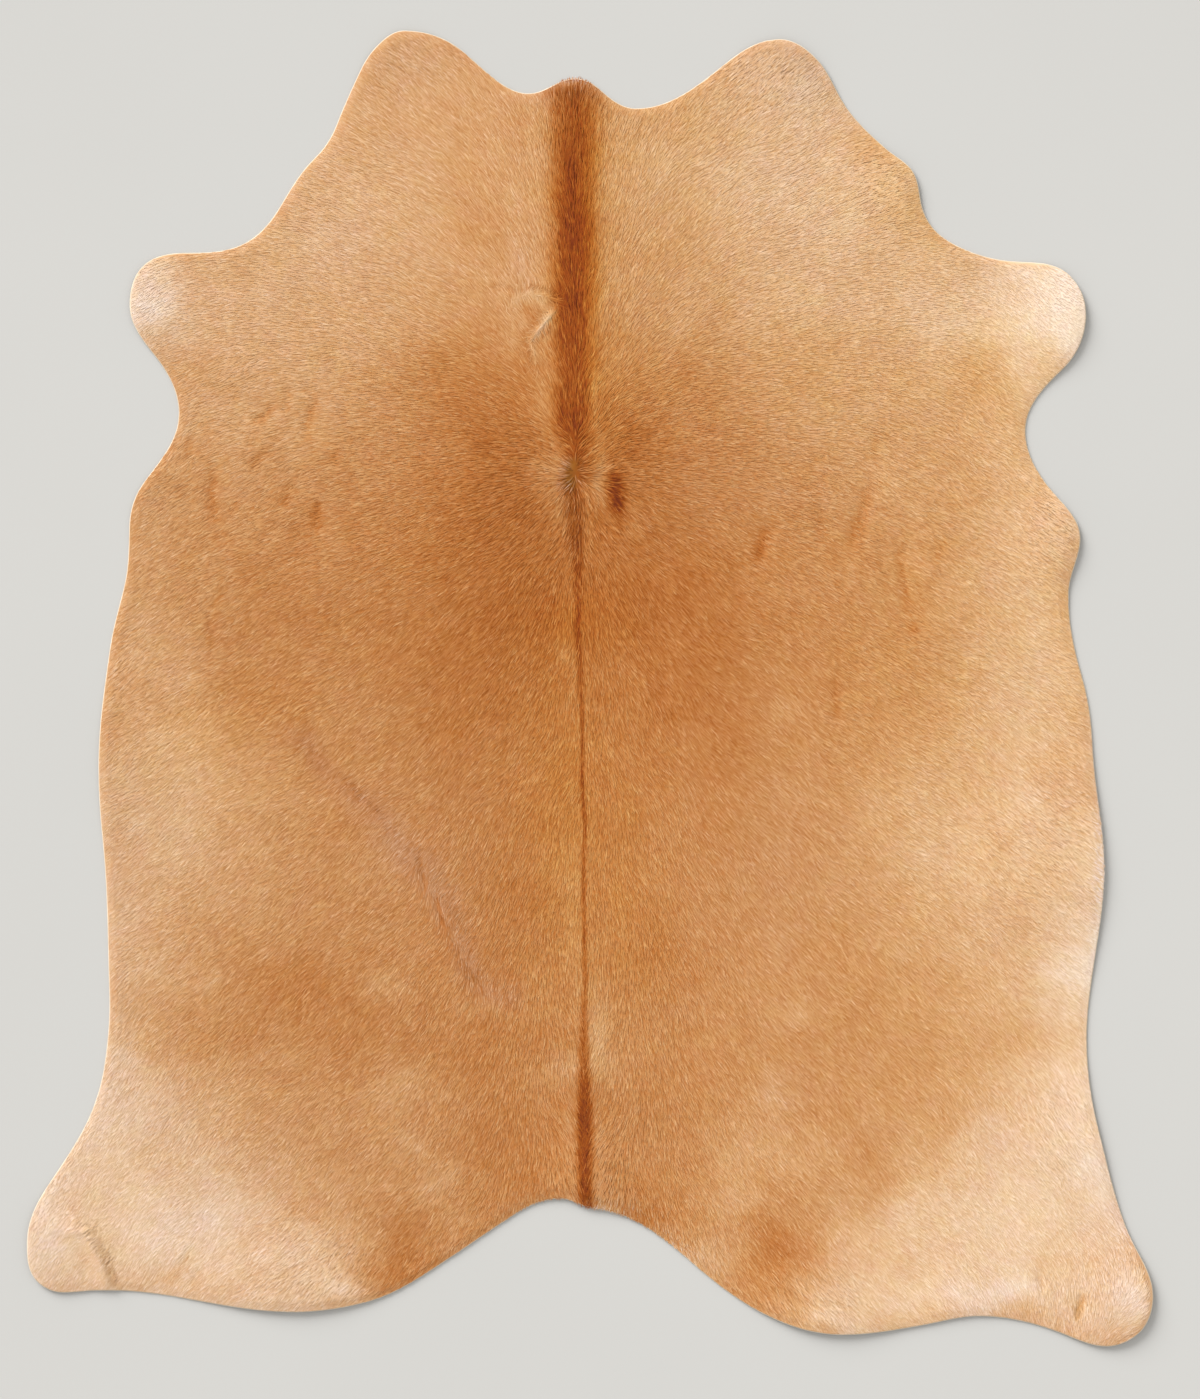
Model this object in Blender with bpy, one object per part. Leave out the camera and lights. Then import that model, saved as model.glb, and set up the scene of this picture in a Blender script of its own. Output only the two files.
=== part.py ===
"""Hair-on cow hide lying flat, hair side up: one skin cut round with a knife, as one closed solid.

Run with: blender --background --python part.py
Metres, +Z up. The origin is on the floor under the middle of the hide, and the neck points along +Y.
The solid is the leather with the short coat lying on it. The tables are in millimetres.
"""

import math
from typing import NamedTuple

import bmesh
import bpy
from mathutils import Vector

MM = 0.001

LEATHER_THICKNESS = 2.2
COAT_THICKNESS = 2.8
CUT_EDGE_HEIGHT = 3.2
RIM_SLOPE_WIDTH = 12.0

OUTLINE_STEPS = 6
TOP_GRID_PITCH = 28.0
UNDERSIDE_GRID_PITCH = 72.0
WELD_DISTANCE = 0.01

# A ridge's sides run out softly to this many times its half width.
SPREAD = 1.6
# A face looks up or down when its normal's Z is past this.
FACING_LIMIT = 0.5

SPINE_X = -22.0
MANE_HALF_WIDTH = 36.0
MANE_RISE = 2.0
MANE_START_Y = 1000.0
MANE_END_Y = 250.0

# Which side of the slab a face is on, while it is cut.
CUT_EDGE = 0
COAT = 1
UNDERSIDE = 2

COAT_COLOUR = (0.55, 0.24, 0.08, 1.0)
COAT_ROUGHNESS = 0.8


class Anchor(NamedTuple):
    """A point of the cut edge, and the way the knife runs there, clockwise seen from above."""

    name: str
    x: float
    y: float
    heading_deg: float


class Spot(NamedTuple):
    """A soft round rise: its middle, its reach and its height there."""

    name: str
    x: float
    y: float
    reach: float
    rise: float


class Crease(NamedTuple):
    """A soft straight ridge, or a trough where its rise is negative, dying out at both ends."""

    name: str
    x_start: float
    y_start: float
    x_end: float
    y_end: float
    half_width: float
    rise: float


OUTLINE = (
    Anchor("left_neck_crest", -297, 1052, 0),
    Anchor("left_neck_inner", -212, 1026, -36),
    Anchor("left_nape", -158, 980, -39),
    Anchor("left_nape_dip", -98, 952, 0),
    Anchor("mane_tip", -24, 976, 0),
    Anchor("right_nape", 18, 957, -42),
    Anchor("right_nape_dip", 74, 928, 0),
    Anchor("right_neck_inner", 193, 981, 38),
    Anchor("right_neck_crest", 302, 1038, 0),
    Anchor("right_neck_outer", 363, 1006, -46),
    Anchor("right_neck_side", 402, 943, -60),
    Anchor("right_cheek", 474, 863, -42),
    Anchor("right_cheek_corner", 516, 827, -57),
    Anchor("right_throat_step", 531, 771, -75),
    Anchor("right_throat_bay", 575, 715, -30),
    Anchor("right_throat", 655, 686, -10),
    Anchor("right_fore_shank_top", 730, 679, -10),
    Anchor("right_fore_shank_tip", 793, 594, -92),
    Anchor("right_fore_shank_heel", 756, 510, -136),
    Anchor("right_armpit", 697, 412, -90),
    Anchor("right_elbow_slope", 740, 315, -50),
    Anchor("right_elbow_crest", 784, 240, -90),
    Anchor("right_elbow_back", 766, 155, -92),
    Anchor("right_flank_top", 788, 17, -74),
    Anchor("right_flank_upper", 804, -90, -88),
    Anchor("right_flank_widest", 822, -300, -91),
    Anchor("right_flank_lower", 805, -450, -98),
    Anchor("right_groin", 795, -560, -90),
    Anchor("right_thigh", 812, -700, -76),
    Anchor("right_hock", 861, -870, -68),
    Anchor("right_hind_shank_tip", 900, -970, -90),
    Anchor("right_hind_shank_corner", 873, -1034, -142),
    Anchor("right_hind_shank_sole", 825, -1052, 180),
    Anchor("right_hind_shank_heel", 750, -1030, 160),
    Anchor("right_rump_bay", 622, -1004, 180),
    Anchor("right_rump_step", 530, -1019, 190),
    Anchor("right_rump_lobe", 395, -1033, 178),
    Anchor("right_rump_corner", 275, -999, 153),
    Anchor("right_tail_side", 184, -937, 140),
    Anchor("right_tail_bay", 62, -847, 156),
    Anchor("tail_tip", 0, -830, 172),
    Anchor("tail_root", -47, -816, 180),
    Anchor("left_tail_bay", -118, -840, 213),
    Anchor("left_tail_side", -273, -943, 212),
    Anchor("left_rump_corner", -355, -981, 195),
    Anchor("left_rump_lobe", -474, -997, 180),
    Anchor("left_rump_long", -654, -975, 170),
    Anchor("left_hind_pucker", -791, -963, 182),
    Anchor("left_hind_shank_sole", -845, -966, 178),
    Anchor("left_hind_shank_corner", -885, -947, 133),
    Anchor("left_hind_shank_tip", -900, -885, 90),
    Anchor("left_hock", -871, -801, 57),
    Anchor("left_thigh", -811, -706, 62),
    Anchor("left_groin", -775, -590, 83),
    Anchor("left_flank_lower", -769, -490, 92),
    Anchor("left_flank", -780, -240, 96),
    Anchor("left_flank_widest", -786, -110, 89),
    Anchor("left_flank_upper", -768, 65, 82),
    Anchor("left_elbow_dent", -745, 165, 77),
    Anchor("left_elbow_back", -737, 260, 88),
    Anchor("left_elbow_crest", -716, 326, 55),
    Anchor("left_armpit", -658, 440, 90),
    Anchor("left_fore_shank_heel", -691, 525, 127),
    Anchor("left_fore_shank_tip", -736, 612, 90),
    Anchor("left_fore_shank_corner", -710, 680, 38),
    Anchor("left_fore_shank_top", -640, 697, 0),
    Anchor("left_throat", -555, 711, 26),
    Anchor("left_throat_bay", -497, 769, 59),
    Anchor("left_cheek", -440, 849, 44),
    Anchor("left_neck_side", -405, 903, 69),
    Anchor("left_neck_outer", -366, 991, 64),
    Anchor("left_neck_corner", -338, 1030, 44),
)

# Where the stiff rim stands a little off the floor.
LIFTED_RIM = (
    Spot("left_neck", -330, 1050, 140, 5.0),
    Spot("right_neck", 330, 1040, 150, 7.0),
    Spot("right_cheek", 525, 830, 130, 6.0),
    Spot("right_fore_shank", 805, 600, 160, 9.0),
    Spot("right_elbow", 790, 240, 140, 7.0),
    Spot("right_flank", 830, -280, 250, 7.5),
    Spot("right_thigh", 830, -720, 180, 6.0),
    Spot("right_hind_shank", 895, -990, 180, 10.0),
    Spot("right_rump_step", 600, -1020, 120, 3.0),
    Spot("right_rump", 380, -1040, 180, 8.0),
    Spot("tail_root", 0, -820, 120, 4.0),
    Spot("left_rump", -480, -1000, 190, 7.0),
    Spot("left_hind_shank", -900, -900, 150, 6.5),
    Spot("left_flank", -790, -110, 200, 3.0),
    Spot("left_elbow", -735, 320, 110, 3.0),
    Spot("left_fore_shank", -740, 615, 130, 5.0),
)

# Where the coat is fuller, or shorter where the rise is negative.
COAT_FULLNESS = (
    Spot("withers", -22, 330, 220, 0.8),
    Spot("right_fore_shank", 790, 600, 200, -0.8),
    Spot("left_fore_shank", -730, 610, 200, -0.8),
    Spot("right_hind_shank", 860, -980, 260, -0.8),
    Spot("left_hind_shank", -860, -890, 260, -0.8),
    Spot("tail_root", -10, -800, 120, 0.6),
)

CREASES = (
    Crease("left_hind_fold_start", -862, -868, -820, -860, 11, 3.5),
    Crease("left_hind_fold_bend", -826, -860, -794, -894, 11, 5.5),
    Crease("left_hind_fold_foot", -799, -884, -762, -970, 11, 5.5),
    Crease("left_hind_pucker", -692, -962, -640, -888, 12, -1.2),
    Crease("right_hind_crease", 790, -960, 772, -1022, 12, -1.5),
    Crease("scar_top", -410, -130, -290, -240, 16, -1.0),
    Crease("scar_middle", -310, -215, -238, -410, 16, -1.2),
    Crease("scar_foot", -250, -385, -140, -505, 16, -1.0),
    Crease("right_armpit_crease", 452, 345, 408, 200, 12, -1.2),
    Crease("right_elbow_crease", 499, 258, 507, 98, 12, -1.2),
    Crease("right_shoulder_crease", 281, 274, 267, 190, 14, -1.0),
    Crease("left_shoulder_crease", -439, 490, -458, 384, 12, -1.2),
    Crease("left_shoulder_crease_outer", -504, 474, -548, 424, 12, -1.2),
    Crease("left_shoulder_crease_low", -433, 312, -432, 238, 12, -1.2),
    Crease("left_elbow_crease", -601, 376, -598, 248, 14, -1.2),
)


def clear_scene():
    """Remove every object, so the file starts empty."""
    for item in list(bpy.data.objects):
        bpy.data.objects.remove(item, do_unlink=True)


def new_collection(name):
    """Make a collection in the scene."""
    collection = bpy.data.collections.new(name)
    bpy.context.scene.collection.children.link(collection)
    return collection


def handle_offset(here, there, heading):
    """The step from one anchor to its curve handle, as long as a round arc between the two would want."""
    chord = there - here
    along = Vector((math.cos(heading), math.sin(heading)))
    if along.dot(chord) < 0:
        along.negate()
    lean = along.angle(chord)
    return along * chord.length / (3 * math.cos(lean / 2) ** 2)


def make_outline_curve():
    """The cut edge as a closed flat curve, extruded to the thickness of a slab."""
    data = bpy.data.curves.new("hide_outline", "CURVE")
    data.dimensions = "2D"
    data.fill_mode = "BOTH"
    data.extrude = (LEATHER_THICKNESS + COAT_THICKNESS) * MM / 2
    data.resolution_u = OUTLINE_STEPS
    spline = data.splines.new("BEZIER")
    spline.bezier_points.add(len(OUTLINE) - 1)
    spline.use_cyclic_u = True
    for i, anchor in enumerate(OUTLINE):
        before = OUTLINE[i - 1]
        after = OUTLINE[(i + 1) % len(OUTLINE)]
        here = Vector((anchor.x, anchor.y))
        heading = math.radians(anchor.heading_deg)
        point = spline.bezier_points[i]
        point.handle_left_type = "FREE"
        point.handle_right_type = "FREE"
        point.co = here.to_3d() * MM
        back = handle_offset(here, Vector((before.x, before.y)), heading)
        ahead = handle_offset(here, Vector((after.x, after.y)), heading)
        point.handle_left = (here + back).to_3d() * MM
        point.handle_right = (here + ahead).to_3d() * MM
    curve = bpy.data.objects.new("hide_outline", data)
    bpy.context.scene.collection.objects.link(curve)
    return curve


def mesh_from_curve(curve):
    """The filled curve as a mesh, and the curve removed."""
    bpy.context.view_layer.update()
    evaluated = curve.evaluated_get(bpy.context.evaluated_depsgraph_get())
    mesh = bpy.data.meshes.new_from_object(evaluated)
    bpy.data.objects.remove(curve, do_unlink=True)
    return mesh


def one_face(shape, up, side):
    """Join the triangles of the slab's top, or of its underside, into one face and mark its side."""
    facing = [face for face in shape.faces if face.normal.z * up > FACING_LIMIT]
    joined = bmesh.ops.dissolve_faces(shape, faces=facing)["region"]
    for face in joined:
        face.material_index = side
    return joined


def faces_on(shape, side):
    """The faces that carry a side's mark, which cutting hands on to the new ones."""
    return [face for face in shape.faces if face.material_index == side]


def cut_across(shape, faces, point, normal):
    """Cut the given faces along a plane."""
    edges = {edge for face in faces for edge in face.edges}
    corners = {corner for face in faces for corner in face.verts}
    bmesh.ops.bisect_plane(
        shape,
        geom=[*faces, *edges, *corners],
        dist=WELD_DISTANCE * MM,
        plane_co=point,
        plane_no=normal,
    )


def grid_lines(low, high, pitch):
    """Evenly spaced positions strictly between two ends, one of them at zero."""
    first = math.floor(low / pitch) + 1
    last = math.ceil(high / pitch) - 1
    return [index * pitch for index in range(first, last + 1)]


def cut_grid(shape, side, pitch, more_x=()):
    """Cut a side into a square grid, with a few more lines across X."""
    xs = [anchor.x for anchor in OUTLINE]
    ys = [anchor.y for anchor in OUTLINE]
    for x in [*grid_lines(min(xs), max(xs), pitch), *more_x]:
        cut_across(shape, faces_on(shape, side), Vector((x * MM, 0, 0)), Vector((1, 0, 0)))
    for y in grid_lines(min(ys), max(ys), pitch):
        cut_across(shape, faces_on(shape, side), Vector((0, y * MM, 0)), Vector((0, 1, 0)))


def crease_frame(crease):
    """A crease's start, its direction, its length and the way across it."""
    start = Vector((crease.x_start, crease.y_start))
    run = Vector((crease.x_end, crease.y_end)) - start
    along = run.normalized()
    return start, along, run.length, Vector((-along.y, along.x))


def cut_crease(shape, side, crease):
    """Cut a side's faces round a crease along its middle and both its flanks."""
    start, along, length, across = crease_frame(crease)
    reach = crease.half_width + TOP_GRID_PITCH

    def is_near(face):
        offset = face.calc_center_median().to_2d() / MM - start
        return -reach < offset.dot(along) < length + reach and abs(offset.dot(across)) < reach

    for flank in (-1, 0, 1):
        near = [face for face in faces_on(shape, side) if is_near(face)]
        point = (start + across * crease.half_width * flank).to_3d() * MM
        cut_across(shape, near, point, across.to_3d())


def soft_step(share):
    """Zero to one without corners."""
    share = min(max(share, 0.0), 1.0)
    return share * share * (3 - 2 * share)


def spot_height(spot, x, y):
    """A soft round rise that ends at its reach."""
    share = math.hypot(x - spot.x, y - spot.y) / spot.reach
    return spot.rise * soft_step(1 - share)


def crease_height(crease, x, y):
    """A crease's rise at a point: full along its middle, half at its ends, none past them and its sides."""
    start, along, length, across = crease_frame(crease)
    offset = Vector((x, y)) - start
    end_gap = min(offset.dot(along), length - offset.dot(along))
    lengthwise = soft_step((end_gap / crease.half_width + 1) / 2)
    crosswise = soft_step(1 - abs(offset.dot(across)) / (SPREAD * crease.half_width))
    return crease.rise * lengthwise * crosswise


def floor_gap(x, y):
    """How far the leather stands off the floor."""
    lifted = sum(spot_height(spot, x, y) for spot in LIFTED_RIM)
    folded = max(crease_height(crease, x, y) for crease in CREASES if crease.rise > 0)
    return lifted + folded


def coat_top(x, y):
    """How high the lying coat's surface is above the leather's underside."""
    fullness = sum(spot_height(spot, x, y) for spot in COAT_FULLNESS)
    pressed = min(crease_height(crease, x, y) for crease in CREASES if crease.rise < 0)
    along = (y - MANE_END_Y) / (MANE_START_Y - MANE_END_Y)
    mane = MANE_RISE * soft_step(along) * soft_step(1 - abs(x - SPINE_X) / (SPREAD * MANE_HALF_WIDTH))
    return LEATHER_THICKNESS + COAT_THICKNESS + fullness + pressed + mane


def corners_on(shape, side):
    """The corners that a side's faces use."""
    return {corner for face in faces_on(shape, side) for corner in face.verts}


def lay_on_floor(shape):
    """Give every corner its height: underside, coat, or the top of the cut edge between them."""
    under = corners_on(shape, UNDERSIDE)
    above = corners_on(shape, COAT)
    for corner in shape.verts:
        x = corner.co.x / MM
        y = corner.co.y / MM
        height = floor_gap(x, y)
        if corner in above:
            height += coat_top(x, y)
        elif corner not in under:
            height += CUT_EDGE_HEIGHT
        corner.co.z = height * MM


def make_coat_material():
    """The tan coat."""
    material = bpy.data.materials.new("tan_coat")
    material.use_nodes = True
    principled = material.node_tree.nodes["Principled BSDF"]
    principled.inputs["Base Color"].default_value = COAT_COLOUR
    principled.inputs["Roughness"].default_value = COAT_ROUGHNESS
    principled.inputs["Metallic"].default_value = 0.0
    return material


def make_hide(collection):
    """The whole hide as one closed solid."""
    mesh = mesh_from_curve(make_outline_curve())
    shape = bmesh.new()
    shape.from_mesh(mesh)
    bmesh.ops.remove_doubles(shape, verts=shape.verts, dist=WELD_DISTANCE * MM)
    bmesh.ops.recalc_face_normals(shape, faces=shape.faces)

    one_face(shape, -1, UNDERSIDE)
    coat = one_face(shape, 1, COAT)
    slope = bmesh.ops.inset_region(
        shape, faces=coat, thickness=RIM_SLOPE_WIDTH * MM, use_even_offset=True
    )
    for face in slope["faces"]:
        face.material_index = CUT_EDGE

    mane_lines = [SPINE_X - MANE_HALF_WIDTH, SPINE_X, SPINE_X + MANE_HALF_WIDTH]
    cut_grid(shape, COAT, TOP_GRID_PITCH, mane_lines)
    cut_grid(shape, UNDERSIDE, UNDERSIDE_GRID_PITCH)
    for crease in CREASES:
        cut_crease(shape, COAT, crease)
        if crease.rise > 0:
            cut_crease(shape, UNDERSIDE, crease)

    bmesh.ops.triangulate(shape, faces=shape.faces)
    lay_on_floor(shape)
    for face in shape.faces:
        face.material_index = 0
    bmesh.ops.recalc_face_normals(shape, faces=shape.faces)
    shape.to_mesh(mesh)
    shape.free()

    mesh.name = "hide"
    mesh.materials.append(make_coat_material())
    mesh.shade_smooth()
    hide = bpy.data.objects.new("hide", mesh)
    collection.objects.link(hide)
    return hide


def main():
    """Build the hide."""
    clear_scene()
    make_hide(new_collection("cow_hide"))


main()
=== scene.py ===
"""Hair-on cow hide lying flat, dressed: the leather, its coat of hair locks, the floor, light and camera.

Tables are in millimetres in the part's own frame: X to the right, Y to the neck and Z up. A tone runs from
0, the palest coat, to 1, the darkest. A warmth runs from -1, greyer and pinker, to 1, more amber.
"""

from __future__ import annotations

import logging
import math
from dataclasses import dataclass, field
from enum import Enum
from typing import Any, Callable, NamedTuple

import bmesh
import bpy
import numpy as np
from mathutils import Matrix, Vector
from mathutils.bvhtree import BVHTree
from mathutils.geometry import delaunay_2d_cdt
from mathutils.kdtree import KDTree


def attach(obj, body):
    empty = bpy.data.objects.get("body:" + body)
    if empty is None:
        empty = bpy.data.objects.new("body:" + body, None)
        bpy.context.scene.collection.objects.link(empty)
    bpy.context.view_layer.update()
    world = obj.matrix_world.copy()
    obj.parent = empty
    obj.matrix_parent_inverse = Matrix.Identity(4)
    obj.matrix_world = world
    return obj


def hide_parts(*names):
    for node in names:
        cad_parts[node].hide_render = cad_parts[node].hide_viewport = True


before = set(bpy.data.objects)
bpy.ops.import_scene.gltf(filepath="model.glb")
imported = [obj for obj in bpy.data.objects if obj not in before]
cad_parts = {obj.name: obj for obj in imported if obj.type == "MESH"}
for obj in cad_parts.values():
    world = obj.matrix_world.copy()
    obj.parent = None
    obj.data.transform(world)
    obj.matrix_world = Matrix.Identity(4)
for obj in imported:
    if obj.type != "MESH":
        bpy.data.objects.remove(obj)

LOG = logging.getLogger("hide")
MM = 0.001
SEED = 4127
BAKE_MAP = "OFBake"
Array = np.ndarray
Route = tuple[tuple[float, float], ...]
Screen = tuple[int, int, int]
# Corners nearer to each other than this are one.
WELD = 0.01
# A line is looked for out to this many half widths from its path.
LINE_REACH = 3
# The share of a skin line's length over which each of its ends dies out.
LINE_END_FADE = 0.28
# How steeply the line down the back falls off at its sides.
STRIPE_FALL = 3
# The least light that a colour keeps.
DARKEST = 0.002


class Side(Enum):
    """Which half of the hide a mark is for, seen from above with the neck up."""

    BOTH = "both"
    LEFT = "left"
    RIGHT = "right"


class Mark(Enum):
    """The attributes that the coat's material reads."""

    TONE = "coat_tone"
    WARMTH = "coat_warmth"
    SHADE = "lock_shade"
    ALONG = "lock_along"
    ACROSS = "lock_across"


class Patch(NamedTuple):
    """A soft oval patch of coat: its middle, its reach along its own axes, its shift and its turn."""

    name: str
    x: float
    y: float
    reach_x: float
    reach_y: float
    shift: float
    turn_deg: float = 0


class StripeRow(NamedTuple):
    """The line down the back at one height: its middle, its half width and its shift in tone."""

    y: float
    x: float
    half_width: float
    shift: float


class SkinLine(NamedTuple):
    """A wrinkle, fold or scar: its path, half width, rise, and its shifts in tone and warmth. On wrinkles,
    creases and folds the tone shift is painted shade in the hollows and a little painted light on ridges;
    elsewhere it is the coat's own colour.
    """

    name: str
    path: Route
    half_width: float
    rise: float
    tone: float
    warmth: float = 0.0


class LaidLine(NamedTuple):
    """A line along which the hair lies, whatever way it runs round about."""

    name: str
    path: Route
    half_width: float
    strength: float


class CombMark(NamedTuple):
    """How the hair lies at a place: degrees up to the neck from straight outwards, away from the spine."""

    offset: float
    y: float
    lean_deg: float
    side: Side = Side.BOTH


class RampStop(NamedTuple):
    """A coat colour, as it looks on a screen, from 0 to 255."""

    tone: float
    red: int
    green: int
    blue: int


COAT_RAMP = (
    RampStop(-0.10, 250, 228, 208),
    RampStop(0.00, 244, 216, 188),
    RampStop(0.08, 240, 207, 173),
    RampStop(0.13, 236, 201, 165),
    RampStop(0.19, 231, 192, 153),
    RampStop(0.26, 227, 182, 137),
    RampStop(0.33, 220, 172, 125),
    RampStop(0.39, 216, 164, 113),
    RampStop(0.44, 212, 157, 105),
    RampStop(0.49, 208, 150, 97),
    RampStop(0.54, 203, 143, 89),
    RampStop(0.58, 200, 136, 82),
    RampStop(0.65, 196, 129, 73),
    RampStop(0.71, 191, 120, 63),
    RampStop(0.77, 184, 112, 56),
    RampStop(0.83, 177, 104, 49),
    RampStop(0.89, 168, 94, 41),
    RampStop(0.96, 162, 84, 32),
    RampStop(1.05, 150, 75, 28),
    RampStop(1.20, 128, 60, 22),
)

BASE_TONE = 0.50

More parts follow.
